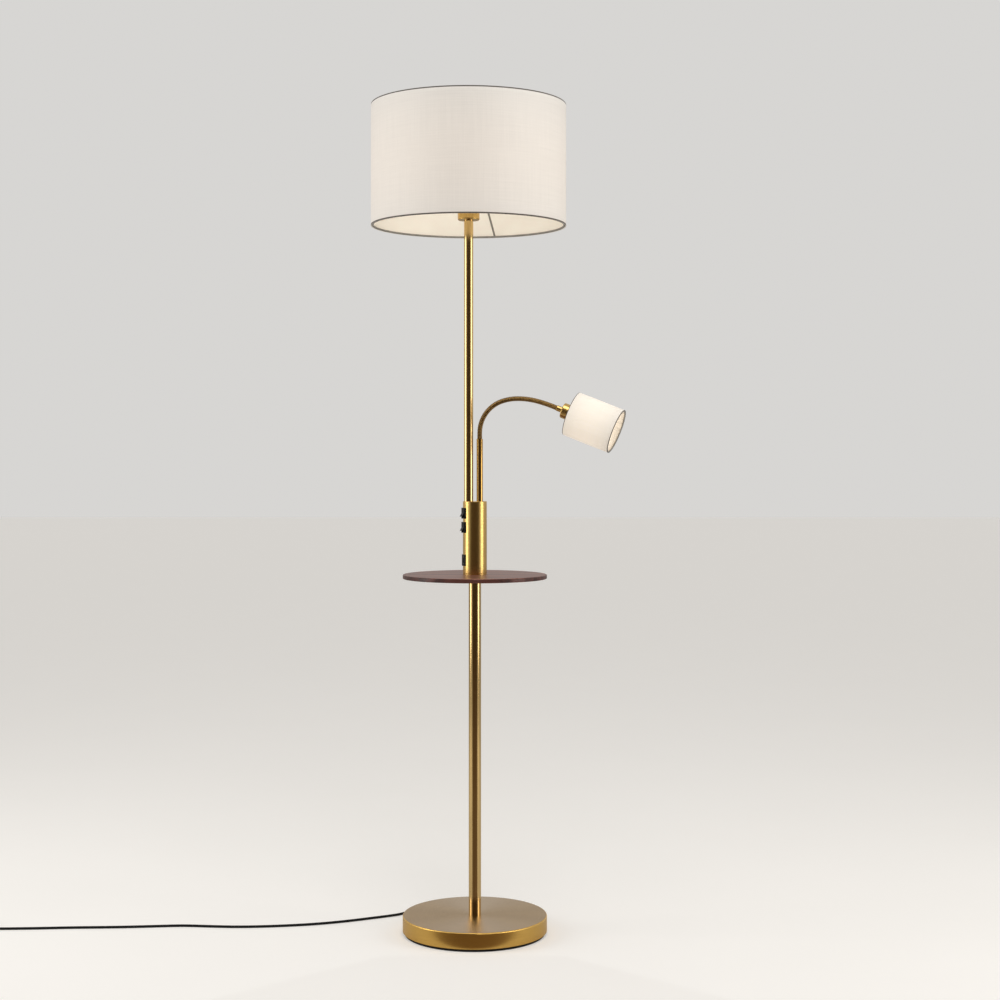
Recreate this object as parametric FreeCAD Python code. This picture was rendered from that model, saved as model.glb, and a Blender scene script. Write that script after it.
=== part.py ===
"""Floor lamp with a round table, a switch housing, a drum shade and a gooseneck reading lamp.

Millimetres, +Z up. The origin is the middle of the foot's underside, on the floor. -Y is the front.
"""

import FreeCAD
import Part
import math
import os

Vector = FreeCAD.Vector
X_AXIS = Vector(1, 0, 0)
Z_AXIS = Vector(0, 0, 1)

# ---------------------------------------------------------------- driving sizes

FIT = 0.05                      # radial clearance of pieces that seat in each other
ROD_RADIUS = 5.0                # threaded lamp rod, M10
ROD_BORE_RADIUS = 3.6
ROD_HOLE_RADIUS = ROD_RADIUS + FIT
NUT_ACROSS_FLATS = 14.0
NUT_HEIGHT = 4.0
WASHER_RADIUS = 10.0
WASHER_THICKNESS = 1.5

# Foot
FOOT_RADIUS = 140.0
PAD_RADIUS = 136.0
PAD_THICKNESS = 5.5
PAD_SKIN = 1.5                  # left under the recess for the nut
COVER_HEIGHT = 30.5
COVER_WALL = 1.2
COVER_EDGE_RADIUS = 2.2
WEIGHT_THICKNESS = 14.0
WEIGHT_BOSS_RADIUS = 32.0
WEIGHT_GAP = 0.3
RECESS_RADIUS = 16.0
RECESS_DEPTH = 17.0
CHANNEL_WIDTH = 9.0
CHANNEL_HEIGHT = 10.0

# Poles
LOWER_POLE_RADIUS = 12.0
LOWER_POLE_LENGTH = 652.0
POLE_WALL = 1.5
INSERT_LENGTH = 20.0
UPPER_POLE_RADIUS = 9.0
UPPER_POLE_X = -12.1
UPPER_POLE_LENGTH = 545.5

# Table
TABLE_RADIUS = 140.0
TABLE_THICKNESS = 8.0
TABLE_EDGE_RADIUS = 1.6

# Switch housing
HOUSING_RADIUS = 23.25
HOUSING_HEIGHT = 142.0
HOUSING_WALL = 1.5
COLLAR_THICKNESS = 3.0
SPIGOT_LENGTH = 4.0
CAP_THICKNESS = 3.0
MODULE_AZIMUTH = 203.0          # degrees from +X: the side that the switches and the port face
UPPER_SWITCH_HEIGHT = 119.0     # centre above the table top
LOWER_SWITCH_HEIGHT = 91.5
PORT_HEIGHT = 28.0

# Rocker switch
SWITCH_WIDTH = 15.5
SWITCH_HEIGHT = 21.0
SWITCH_PROUD = 2.2
SWITCH_BARREL_WIDTH = 13.0
SWITCH_BARREL_HEIGHT = 19.4
SWITCH_DEPTH = 13.0
ROCKER_WIDTH = 10.4
ROCKER_HALF_HEIGHT = 7.9
ROCKER_ANGLE = 15.0             # each way from the middle
ROCKER_CREST = 2.15             # crease above the pivot
ROCKER_PIVOT_DEPTH = 1.85       # pivot below the bezel's face
ROCKER_SIDE_GAP = 0.25
ROCKER_END_GAP = 0.25
TRUNNION_RADIUS = 1.2
TRUNNION_LENGTH = 0.9
TRUNNION_CLEARANCE = 0.06
TAB_WIDTH = 4.8
TAB_THICKNESS = 0.8
TAB_LENGTH = 5.0
TAB_SPACING = 12.0

# Charging port
PORT_WIDTH = 15.0
PORT_FACE_HEIGHT = 22.0
PORT_PROUD = 1.2
PORT_DEPTH = 14.0
PORT_SLOT_WIDTH = 5.7
PORT_SLOT_HEIGHT = 13.2
PORT_SHELL_WALL = 0.4
TONGUE_THICKNESS = 1.8
BOARD_THICKNESS = 1.6
BOARD_HEIGHT = 34.0
BOARD_MARGIN = 3.0              # below the slot
TRANSFORMER_SIDE = 11.0
TRANSFORMER_LEVEL = 8.0         # its underside above the slot's middle
CAPACITOR_RADIUS = 3.2
CAPACITOR_LEVEL = 1.0
PARTS_DEPTH = 4.5               # how far both stand off the board

# Main lamp holder and bulb
CUP_RADIUS = 21.2
CUP_HEIGHT = 40.0
CUP_WALL = 1.0
CUP_EDGE_RADIUS = 3.0
HOLDER_RADIUS = 19.0
HOLDER_BORE_RADIUS = 14.0
HOLDER_HEIGHT = 54.0
HOLDER_FLOOR = 12.0
CONTACT_GAP = 1.0               # holder's floor to the bulb's foot
CLAMP_RING_RADIUS = 25.0
CLAMP_RING_HEIGHT = 5.0
BULB_CAP_RADIUS = 13.2
BULB_CAP_LENGTH = 26.0
BULB_RADIUS = 30.0
BULB_NECK_RADIUS = 12.9
BULB_NECK_LENGTH = 14.0         # straight, inside the holder's mouth
BULB_LENGTH = 82.0

# Main shade
SHADE_RADIUS = 190.0
SHADE_HEIGHT = 235.0
SHADE_DROP = 11.5               # bottom rim below the cup's underside
FABRIC_THICKNESS = 1.2
LINER_THICKNESS = 0.6
SHADE_WIRE_RADIUS = 2.0
SPIDER_FIRST_AZIMUTH = 74.3
SPIDER_ARMS = 3
SPIDER_RISE_ANGLE = 42.0
HUB_THICKNESS = 1.5

# Reading lamp: fixed sleeve and gooseneck
SLEEVE_X = 9.4
SLEEVE_RADIUS = 6.2
SLEEVE_LENGTH = 121.0
SLEEVE_BORE_RADIUS = 5.15
STUD_RADIUS = 4.0
STUD_BORE_RADIUS = 2.4
STUD_PLUG_LENGTH = 12.0         # inside the sleeve
STUD_NUT_ACROSS_FLATS = 11.0
NECK_AZIMUTH = -14.5            # the arch leans out towards the front
NECK_RADIUS = 5.0
NECK_BORE_RADIUS = 3.2
NECK_START = 12.0               # straight, out of the sleeve
NECK_ARCS = ((64.0, 72.0), (100.0, 18.0), (154.0, 15.5), (300.0, 6.0))  # radius, turn in degrees
NECK_INSERTED = 12.0            # inside the sleeve
NECK_FIRST_HINGE = 16.0
NECK_HINGE_STEP = 27.0
NECK_HINGES = 7
NECK_FLEX_LENGTH = 205.0
NECK_RIB_PITCH = 3.375
NECK_RIB_DEPTH = 0.7
NECK_LINK_GAP = 0.2
FERRULE_RADIUS = 5.6
FERRULE_LENGTH = 12.0

# Reading head, measured along its axis from the cup's closed face
HEAD_CUP_RADIUS = 15.0
HEAD_CUP_LENGTH = 34.0
HEAD_CUP_WALL = 1.0
HEAD_CUP_BASE = 2.5
HEAD_HOLDER_RADIUS = 13.0
HEAD_HOLDER_BORE_RADIUS = 8.2
HEAD_HOLDER_LENGTH = 48.0
HEAD_HOLDER_FLOOR = 14.0
HEAD_SHADE_START = 19.0
HEAD_SHADE_RADIUS = 44.0
HEAD_SHADE_LENGTH = 94.5
HEAD_HUB_AT = 36.0
HEAD_WIRE_RADIUS = 1.4
HEAD_RING_RADIUS = 18.0
HEAD_CLAMP_RADIUS = 16.5
HEAD_CLAMP_HEIGHT = 4.5
HEAD_BULB_RADIUS = 17.5
HEAD_BULB_NECK_LENGTH = 8.5
HEAD_BULB_LENGTH = 46.0
HEAD_BULB_CAP_RADIUS = 7.6
HEAD_BULB_CAP_LENGTH = 24.0

# Mains cord
CORD_RADIUS = 2.5
CORD_EXIT_AZIMUTH = 125.0
CORD_EXIT_HEIGHT = 12.0
BUSHING_LENGTH = 19.0
BUSHING_ROOT_RADIUS = 4.6
BUSHING_TIP_RADIUS = 3.4
BUSHING_FLANGE_RADIUS = 6.0
BUSHING_FLANGE = 1.6
LEAD_BEND_RADIUS = 8.0
LEAD_TOP_RISE = 40.0            # its end above the port's middle
CORD_POINTS = (
    (-98.7, 140.9, 10.4),
    (-114.3, 147.5, 7.6),
    (-132.1, 144.7, 4.6),
    (-150.1, 132.1, 2.8),
    (-172.0, 111.0, 2.6),
    (-212.0, 89.0, 2.6),
    (-262.0, 68.0, 2.6),
    (-322.0, 51.0, 2.6),
    (-390.0, 38.0, 2.6),
    (-460.0, 31.5, 2.6),
    (-520.0, 36.0, 2.6),
    (-575.0, 43.0, 2.6),
    (-640.0, 35.5, 2.6),
    (-712.0, 29.5, 2.6),
    (-786.0, 27.5, 2.6),
    (-858.0, 21.5, 2.6),
    (-925.0, 18.5, 2.6),
)
COIL_START = (-992.0, 18.5, 2.6)
COIL_LEAD_IN = 8.0              # straight, before the first turn
COIL_RADIUS = 36.0
COIL_PITCH = 6.4                # between loops, sideways and upwards
COIL_TURNS_IN = 2.25
TAIL_LENGTH = 34.0
PLUG_LENGTH = 34.0
PLUG_WIDTH = 34.0
PLUG_THICKNESS = 14.0
PLUG_NECK_LENGTH = 14.0
PIN_RADIUS = 2.0
PIN_LENGTH = 19.0
PIN_SPACING = 19.0

# ---------------------------------------------------------------- levels worked out from them

COVER_TOP = PAD_THICKNESS + COVER_HEIGHT
WEIGHT_TOP = COVER_TOP - COVER_WALL
TABLE_BOTTOM = COVER_TOP + LOWER_POLE_LENGTH
TABLE_TOP = TABLE_BOTTOM + TABLE_THICKNESS
HOUSING_TOP = TABLE_TOP + HOUSING_HEIGHT
TUBE_BOTTOM = TABLE_TOP + COLLAR_THICKNESS
TUBE_TOP = HOUSING_TOP - CAP_THICKNESS
HOUSING_BORE = HOUSING_RADIUS - HOUSING_WALL
POLE_TOP = HOUSING_TOP + UPPER_POLE_LENGTH
SHADE_BOTTOM = POLE_TOP - SHADE_DROP
SHADE_TOP = SHADE_BOTTOM + SHADE_HEIGHT
SLEEVE_TOP = HOUSING_TOP + SLEEVE_LENGTH
PORT_LEVEL = TABLE_TOP + PORT_HEIGHT
SWITCH_LEVELS = {
    "upper": TABLE_TOP + UPPER_SWITCH_HEIGHT,
    "lower": TABLE_TOP + LOWER_SWITCH_HEIGHT,
}
LINER_RADIUS = SHADE_RADIUS - FABRIC_THICKNESS - FIT
RING_CENTRE = LINER_RADIUS - LINER_THICKNESS - FIT - SHADE_WIRE_RADIUS


# ---------------------------------------------------------------- helpers

def save(name, shape):
    """Write one sub-part to its own file."""
    shape.exportStep(os.path.join("parts", name + ".step"))
    print("%-24s %2d solid(s) %10.0f mm3" % (name, len(shape.Solids), shape.Volume))


def cylinder(radius, bottom, top, x=0.0, y=0.0):
    """Upright cylinder between two levels."""
    return Part.makeCylinder(radius, top - bottom, Vector(x, y, bottom))


def tube(outer, inner, bottom, top, x=0.0, y=0.0):
    """Upright tube between two levels."""
    return cylinder(outer, bottom, top, x, y).cut(cylinder(inner, bottom, top, x, y))


def revolve(points, x=0.0, y=0.0):
    """Solid of revolution about an upright axis from (radius, level) points."""
    corners = [Vector(radius, 0, level) for radius, level in points]
    corners.append(corners[0])
    solid = Part.Face(Part.makePolygon(corners)).revolve(Vector(0, 0, 0), Z_AXIS, 360)
    solid.translate(Vector(x, y, 0))
    return solid


def circles_at(solid, radius, level):
    """Circular edges of a solid with a given radius at a given level."""
    found = []
    for edge in solid.Edges:
        if not isinstance(edge.Curve, Part.Circle):
            continue
        if abs(edge.Curve.Radius - radius) < 1e-6 and abs(edge.Curve.Center.z - level) < 1e-6:
            found.append(edge)
    return found


def hexagon(across_flats, bottom, top, x=0.0, y=0.0):
    """Upright hexagonal prism."""
    corner = across_flats / math.sqrt(3)
    ring = [Vector(x, y, bottom) + direction(60 * index) * corner for index in range(7)]
    return Part.Face(Part.makePolygon(ring)).extrude(Vector(0, 0, top - bottom))


def box(x0, x1, y0, y1, z0, z1):
    """Box between two corners."""
    return Part.makeBox(x1 - x0, y1 - y0, z1 - z0, Vector(x0, y0, z0))


def rod(bottom, top, x=0.0, y=0.0):
    """Hollow threaded lamp rod."""
    return tube(ROD_RADIUS, ROD_BORE_RADIUS, bottom, top, x, y)


def nut(bottom, x=0.0, y=0.0):
    """Hexagonal nut on a lamp rod."""
    top = bottom + NUT_HEIGHT
    return hexagon(NUT_ACROSS_FLATS, bottom, top, x, y).cut(cylinder(ROD_HOLE_RADIUS, bottom, top, x, y))


def pole_insert(pole_radius, bottom, top, x=0.0, y=0.0):
    """Threaded insert pressed into the end of a pole."""
    return tube(pole_radius - POLE_WALL - FIT, ROD_HOLE_RADIUS, bottom, top, x, y)


def placed(shape, azimuth, level):
    """Turn a piece modelled facing +X about the lamp's axis and lift it to a level."""
    moved = shape.copy()
    moved.rotate(Vector(0, 0, 0), Z_AXIS, azimuth)
    moved.translate(Vector(0, 0, level))
    return moved


def arc_middle(start, way, end):
    """Middle point of the arc that leaves start along a direction and reaches end."""
    chord = end - start
    across = chord - way * chord.dot(way)
    radius = chord.Length ** 2 / (2 * across.Length)
    side = across.normalize()
    centre = start + side * radius
    angle = math.atan2(chord.dot(way), radius - chord.dot(side))
    if angle < 0:
        angle += 2 * math.pi
    return centre - side * radius * math.cos(angle / 2) + way * radius * math.sin(angle / 2)


def arc_edge(start, way, end):
    """Arc from start to end that leaves start along a direction."""
    return Part.Arc(start, arc_middle(start, way, end), end).toShape()


def biarc(start, start_way, end, end_way):
    """Two tangent arcs between two points with given directions."""
    span = end - start
    ways = start_way + end_way
    share = 2 * (1 - start_way.dot(end_way))
    if share < 1e-9:
        return [Part.makeLine(start, end)]
    along = span.dot(ways)
    reach = (math.sqrt(along ** 2 + share * span.dot(span)) - along) / share
    meet = (start + end + (start_way - end_way) * reach) * 0.5
    second = Part.Arc(meet, arc_middle(end, end_way * -1, meet), end).toShape()
    return [arc_edge(start, start_way, meet), second]


def pipe(edges, radius, start, way):
    """Round tube along connected tangent edges."""
    path = Part.Wire(edges)
    ring = Part.Wire([Part.makeCircle(radius, start, way)])
    return path.makePipeShell([ring], True, False)


def direction(azimuth):
    """Level unit vector at an azimuth in degrees."""
    return Vector(math.cos(math.radians(azimuth)), math.sin(math.radians(azimuth)), 0)


# ---------------------------------------------------------------- foot

def foot():
    """Pad, iron weight, spun brass cover and the rod that clamps them to the pole."""
    pad = cylinder(PAD_RADIUS, 0, PAD_THICKNESS)
    pad = pad.cut(cylinder(RECESS_RADIUS, PAD_SKIN, PAD_THICKNESS))
    save("foot_pad", pad)

    outer = cylinder(FOOT_RADIUS, PAD_THICKNESS, COVER_TOP)
    outer = outer.makeFillet(COVER_EDGE_RADIUS, circles_at(outer, FOOT_RADIUS, COVER_TOP))
    cover = outer.cut(cylinder(FOOT_RADIUS - COVER_WALL, PAD_THICKNESS, WEIGHT_TOP))
    cover = cover.cut(cylinder(ROD_HOLE_RADIUS, WEIGHT_TOP, COVER_TOP))
    way = direction(CORD_EXIT_AZIMUTH)
    exit_hole = Part.makeCylinder(BUSHING_ROOT_RADIUS + FIT, 20, way * (FOOT_RADIUS - 10)
                                  + Vector(0, 0, CORD_EXIT_HEIGHT), way)
    save("foot_cover", cover.cut(exit_hole))

    weight_radius = FOOT_RADIUS - COVER_WALL - WEIGHT_GAP
    disc_top = PAD_THICKNESS + WEIGHT_THICKNESS
    recess_top = PAD_THICKNESS + RECESS_DEPTH
    weight = cylinder(weight_radius, PAD_THICKNESS, disc_top).fuse(
        cylinder(WEIGHT_BOSS_RADIUS, disc_top, WEIGHT_TOP)).removeSplitter()
    weight = weight.cut(cylinder(RECESS_RADIUS, PAD_THICKNESS, recess_top))
    weight = weight.cut(cylinder(ROD_HOLE_RADIUS, recess_top, WEIGHT_TOP))
    channel = box(0, weight_radius + 5, -CHANNEL_WIDTH / 2, CHANNEL_WIDTH / 2, 0, CHANNEL_HEIGHT)
    channel.rotate(Vector(0, 0, 0), Z_AXIS, CORD_EXIT_AZIMUTH)
    channel.translate(Vector(0, 0, CORD_EXIT_HEIGHT - CHANNEL_HEIGHT / 2))
    save("foot_weight", weight.cut(channel))

    washer_bottom = recess_top - WASHER_THICKNESS
    save("foot_washer", tube(WASHER_RADIUS, ROD_HOLE_RADIUS, washer_bottom, recess_top))


def rods_and_nuts():
    """Hollow threaded rods that clamp the stack together, and the nuts on three of them."""
    foot_nut = PAD_THICKNESS + RECESS_DEPTH - WASHER_THICKNESS - NUT_HEIGHT
    table_nut = TUBE_BOTTOM + SPIGOT_LENGTH
    pole_nut = TUBE_TOP - SPIGOT_LENGTH - NUT_HEIGHT
    rods = [
        rod(foot_nut, COVER_TOP + INSERT_LENGTH),
        rod(TABLE_BOTTOM - INSERT_LENGTH, table_nut + NUT_HEIGHT),
        rod(pole_nut, HOUSING_TOP + INSERT_LENGTH, UPPER_POLE_X),
        rod(POLE_TOP - INSERT_LENGTH, POLE_TOP + CUP_EDGE_RADIUS + HOLDER_FLOOR - 2, UPPER_POLE_X),
    ]
    save("lamp_rods", Part.makeCompound(rods))
    save("rod_nuts", Part.makeCompound([nut(foot_nut), nut(table_nut), nut(pole_nut, UPPER_POLE_X)]))


# ---------------------------------------------------------------- lower pole and table

def lower_pole():
    """Pole between the foot and the table, with a threaded insert at each end."""
    bore = LOWER_POLE_RADIUS - POLE_WALL
    save("lower_pole", tube(LOWER_POLE_RADIUS, bore, COVER_TOP, TABLE_BOTTOM))
    inserts = [pole_insert(LOWER_POLE_RADIUS, COVER_TOP, COVER_TOP + INSERT_LENGTH),
               pole_insert(LOWER_POLE_RADIUS, TABLE_BOTTOM - INSERT_LENGTH, TABLE_BOTTOM)]
    save("lower_pole_inserts", Part.makeCompound(inserts))


def table():
    """Round veneered table top, clamped between the lower pole and the housing's collar."""
    top = cylinder(TABLE_RADIUS, TABLE_BOTTOM, TABLE_TOP)
    edges = circles_at(top, TABLE_RADIUS, TABLE_BOTTOM) + circles_at(top, TABLE_RADIUS, TABLE_TOP)
    top = top.makeFillet(TABLE_EDGE_RADIUS, edges)
    save("table_top", top.cut(cylinder(ROD_HOLE_RADIUS, TABLE_BOTTOM, TABLE_TOP)))


# ---------------------------------------------------------------- housing

def housing():
    """Brass tube with its collar and cap, cut out for the two switches and the port."""
    shell = tube(HOUSING_RADIUS, HOUSING_BORE, TUBE_BOTTOM, TUBE_TOP)
    half_barrel = SWITCH_BARREL_WIDTH / 2 + FIT
    half_height = SWITCH_BARREL_HEIGHT / 2 + FIT
    window = box(0, HOUSING_RADIUS + 5, -half_barrel, half_barrel, -half_height, half_height)
    for level in list(SWITCH_LEVELS.values()) + [PORT_LEVEL]:
        shell = shell.cut(placed(window, MODULE_AZIMUTH, level))
    save("housing_tube", shell)

    spigot = HOUSING_BORE - FIT
    collar = cylinder(HOUSING_RADIUS, TABLE_TOP, TUBE_BOTTOM)
    collar = collar.makeChamfer(0.5, circles_at(collar, HOUSING_RADIUS, TUBE_BOTTOM))
    collar = collar.fuse(cylinder(spigot, TUBE_BOTTOM, TUBE_BOTTOM + SPIGOT_LENGTH))
    save("housing_collar", collar.cut(cylinder(ROD_HOLE_RADIUS, TABLE_TOP, TUBE_BOTTOM + SPIGOT_LENGTH)))

    cap = cylinder(HOUSING_RADIUS, TUBE_TOP, HOUSING_TOP)
    cap = cap.makeFillet(0.8, circles_at(cap, HOUSING_RADIUS, HOUSING_TOP))
    cap = cap.fuse(cylinder(spigot, TUBE_TOP - SPIGOT_LENGTH, TUBE_TOP))
    cap = cap.cut(cylinder(ROD_HOLE_RADIUS, TUBE_TOP - SPIGOT_LENGTH, HOUSING_TOP, UPPER_POLE_X))
    cap = cap.cut(cylinder(STUD_RADIUS + FIT, TUBE_TOP - SPIGOT_LENGTH, HOUSING_TOP, SLEEVE_X))
    save("housing_cap", cap)


def switch_body():
    """Rocker switch's black body, facing +X: bezel, barrel, window and trunnion holes."""
    face = HOUSING_RADIUS + SWITCH_PROUD
    bezel = box(HOUSING_BORE - 1, face, -SWITCH_WIDTH / 2, SWITCH_WIDTH / 2,
                -SWITCH_HEIGHT / 2, SWITCH_HEIGHT / 2)
    rim = [edge for edge in bezel.Edges if abs(edge.CenterOfMass.x - face) < 1e-6]
    bezel = bezel.makeFillet(0.7, rim)
    bezel = bezel.cut(cylinder(HOUSING_RADIUS + FIT, -SWITCH_HEIGHT, SWITCH_HEIGHT))
    barrel = box(face - SWITCH_PROUD - SWITCH_DEPTH, face - SWITCH_PROUD, -SWITCH_BARREL_WIDTH / 2,
                 SWITCH_BARREL_WIDTH / 2, -SWITCH_BARREL_HEIGHT / 2, SWITCH_BARREL_HEIGHT / 2)
    pivot = face - ROCKER_PIVOT_DEPTH
    half_width = ROCKER_WIDTH / 2 + ROCKER_SIDE_GAP
    half_height = rocker_reach() + ROCKER_END_GAP
    floor = face - SWITCH_PROUD - SWITCH_DEPTH + 3
    window = box(floor, face + 5, -half_width, half_width, -half_height, half_height)
    body = bezel.fuse(barrel).removeSplitter().cut(window)
    hole_half = half_width + TRUNNION_LENGTH - ROCKER_SIDE_GAP + 0.1
    hole = Part.makeCylinder(TRUNNION_RADIUS + TRUNNION_CLEARANCE, 2 * hole_half,
                             Vector(pivot, -hole_half, 0), Vector(0, 1, 0))
    return body.cut(hole)


def rocker_reach():
    """How far the pressed end of the rocker reaches from the pivot along the face."""
    angle = math.radians(ROCKER_ANGLE)
    return ROCKER_CREST * math.sin(angle) + ROCKER_HALF_HEIGHT / math.cos(angle)


def rocker():
    """Rocker, facing +X, tilted so that its lower end stands out; trunnions on both sides."""
    pivot = HOUSING_RADIUS + SWITCH_PROUD - ROCKER_PIVOT_DEPTH
    rise = ROCKER_HALF_HEIGHT * math.tan(math.radians(ROCKER_ANGLE))
    y0 = -ROCKER_WIDTH / 2
    half = ROCKER_HALF_HEIGHT
    top = Vector(pivot + ROCKER_CREST + rise, y0, half)
    crease = Vector(pivot + ROCKER_CREST, y0, 0)
    bottom = Vector(pivot + ROCKER_CREST + rise, y0, -half)
    low_heel = Vector(pivot - 1.0, y0, -half + 0.9)
    high_heel = Vector(pivot - 1.0, y0, half - 0.9)
    keel = Part.Arc(low_heel, Vector(pivot - 4.2, y0, 0), high_heel).toShape()
    outline = Part.Wire([Part.makeLine(high_heel, top), Part.makeLine(top, crease),
                         Part.makeLine(crease, bottom), Part.makeLine(bottom, low_heel), keel])
    body = Part.Face(outline).extrude(Vector(0, ROCKER_WIDTH, 0))
    half_pin = ROCKER_WIDTH / 2 + TRUNNION_LENGTH
    pin = Part.makeCylinder(TRUNNION_RADIUS, 2 * half_pin, Vector(pivot, -half_pin, 0), Vector(0, 1, 0))
    lever = body.fuse(pin)
    lever.rotate(Vector(pivot, 0, 0), Vector(0, 1, 0), -ROCKER_ANGLE)
    return lever


def switches():
    """Two rocker switches, one for each light, with their contact tabs."""
    back = HOUSING_RADIUS - SWITCH_DEPTH
    tabs = []
    for name, level in SWITCH_LEVELS.items():
        save(name + "_switch_body", placed(switch_body(), MODULE_AZIMUTH, level))
        save(name + "_switch_rocker", placed(rocker(), MODULE_AZIMUTH, level))
        for middle in (-TAB_SPACING / 2, TAB_SPACING / 2):
            tab = box(back - TAB_LENGTH, back, -TAB_WIDTH / 2, TAB_WIDTH / 2,
                      middle - TAB_THICKNESS / 2, middle + TAB_THICKNESS / 2)
            tabs.append(placed(tab, MODULE_AZIMUTH, level))
    save("switch_tabs", Part.makeCompound(tabs))


def charging_port():
    """Charging port: black frame, metal shell, tongue and the board behind it."""
    face = HOUSING_RADIUS + PORT_PROUD
    back = face - PORT_PROUD - PORT_DEPTH
    frame = box(HOUSING_BORE - 1, face, -PORT_WIDTH / 2, PORT_WIDTH / 2,
                -PORT_FACE_HEIGHT / 2, PORT_FACE_HEIGHT / 2)
    rim = [edge for edge in frame.Edges if abs(edge.CenterOfMass.x - face) < 1e-6]
    frame = frame.makeFillet(0.6, rim)
    frame = frame.cut(cylinder(HOUSING_RADIUS + FIT, -PORT_FACE_HEIGHT, PORT_FACE_HEIGHT))
    barrel = box(back, face - PORT_PROUD, -SWITCH_BARREL_WIDTH / 2, SWITCH_BARREL_WIDTH / 2,
                 -SWITCH_BARREL_HEIGHT / 2, SWITCH_BARREL_HEIGHT / 2)
    half_w = PORT_SLOT_WIDTH / 2
    half_h = PORT_SLOT_HEIGHT / 2
    frame = frame.fuse(barrel).removeSplitter().cut(
        box(back - 1, face + 1, -half_w - FIT, half_w + FIT, -half_h - FIT, half_h + FIT))
    save("port_frame", placed(frame, MODULE_AZIMUTH, PORT_LEVEL))

    wall = PORT_SHELL_WALL
    shell = box(back, face - 0.4, -half_w, half_w, -half_h, half_h)
    shell = shell.cut(box(back + wall, face + 1, -half_w + wall, half_w - wall,
                          -half_h + wall, half_h - wall))
    save("port_shell", placed(shell, MODULE_AZIMUTH, PORT_LEVEL))
    tongue = box(back + wall, face - 1.2, -half_w + wall + 0.3, -half_w + wall + 0.3 + TONGUE_THICKNESS,
                 -half_h + 1.2, half_h - 1.2)
    save("port_tongue", placed(tongue, MODULE_AZIMUTH, PORT_LEVEL))

    low = -half_h - BOARD_MARGIN
    rear = back - BOARD_THICKNESS
    plate = box(rear, back, -SWITCH_BARREL_WIDTH / 2, SWITCH_BARREL_WIDTH / 2, low, low + BOARD_HEIGHT)
    transformer = box(rear - PARTS_DEPTH, rear, -TRANSFORMER_SIDE / 2, TRANSFORMER_SIDE / 2,
                      TRANSFORMER_LEVEL, TRANSFORMER_LEVEL + TRANSFORMER_SIDE)
    capacitor = Part.makeCylinder(CAPACITOR_RADIUS, PARTS_DEPTH, Vector(rear, 0, CAPACITOR_LEVEL),
                                  X_AXIS * -1)
    board = plate.fuse(transformer).fuse(capacitor)
    save("port_board", placed(board, MODULE_AZIMUTH, PORT_LEVEL))


# ---------------------------------------------------------------- upper pole, holder, bulb

def upper_pole():
    """Pole that carries the main lamp, with a threaded insert at each end."""
    x = UPPER_POLE_X
    bore = UPPER_POLE_RADIUS - POLE_WALL
    save("upper_pole", tube(UPPER_POLE_RADIUS, bore, HOUSING_TOP, POLE_TOP, x))
    inserts = [pole_insert(UPPER_POLE_RADIUS, HOUSING_TOP, HOUSING_TOP + INSERT_LENGTH, x),
               pole_insert(UPPER_POLE_RADIUS, POLE_TOP - INSERT_LENGTH, POLE_TOP, x)]
    save("upper_pole_inserts", Part.makeCompound(inserts))


def main_holder():
    """Brass cup, lamp holder, the two rings that clamp the shade, and the bulb."""
    x = UPPER_POLE_X
    cup = cylinder(CUP_RADIUS, POLE_TOP, POLE_TOP + CUP_HEIGHT, x)
    cup = cup.makeFillet(CUP_EDGE_RADIUS, circles_at(cup, CUP_RADIUS, POLE_TOP))
    cup = cup.cut(cylinder(CUP_RADIUS - CUP_WALL, POLE_TOP + CUP_EDGE_RADIUS, POLE_TOP + CUP_HEIGHT, x))
    save("holder_cup", cup.cut(cylinder(ROD_HOLE_RADIUS, POLE_TOP, POLE_TOP + CUP_EDGE_RADIUS, x)))

    seat = POLE_TOP + CUP_EDGE_RADIUS
    holder_top = seat + HOLDER_HEIGHT
    holder = cylinder(HOLDER_RADIUS, seat, holder_top, x)
    holder = holder.cut(cylinder(HOLDER_BORE_RADIUS, seat + HOLDER_FLOOR, holder_top, x))
    save("main_holder", holder.cut(cylinder(ROD_HOLE_RADIUS, seat, seat + HOLDER_FLOOR, x)))

    hub_bottom = hub_level()
    rings = []
    for bottom in (hub_bottom - CLAMP_RING_HEIGHT, hub_bottom + HUB_THICKNESS):
        rings.append(tube(CLAMP_RING_RADIUS, HOLDER_RADIUS + FIT, bottom, bottom + CLAMP_RING_HEIGHT, x))
    save("shade_clamp_rings", Part.makeCompound(rings))

    contact = seat + HOLDER_FLOOR + CONTACT_GAP
    cap_top = contact + BULB_CAP_LENGTH
    cap = revolve(((0, contact), (4, contact), (5, contact + 3), (BULB_CAP_RADIUS, contact + 5),
                   (BULB_CAP_RADIUS, cap_top), (0, cap_top)), x)
    save("main_bulb_cap", cap)
    glass = bulb(BULB_NECK_RADIUS, BULB_NECK_LENGTH, BULB_RADIUS, cap_top, BULB_LENGTH)
    glass.translate(Vector(x, 0, 0))
    save("main_bulb", glass)


def ball_point(radius, centre, rise):
    """Point on a ball's outline at an angle in degrees above its middle."""
    return Vector(radius * math.cos(math.radians(rise)), 0, centre + radius * math.sin(math.radians(rise)))


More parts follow.
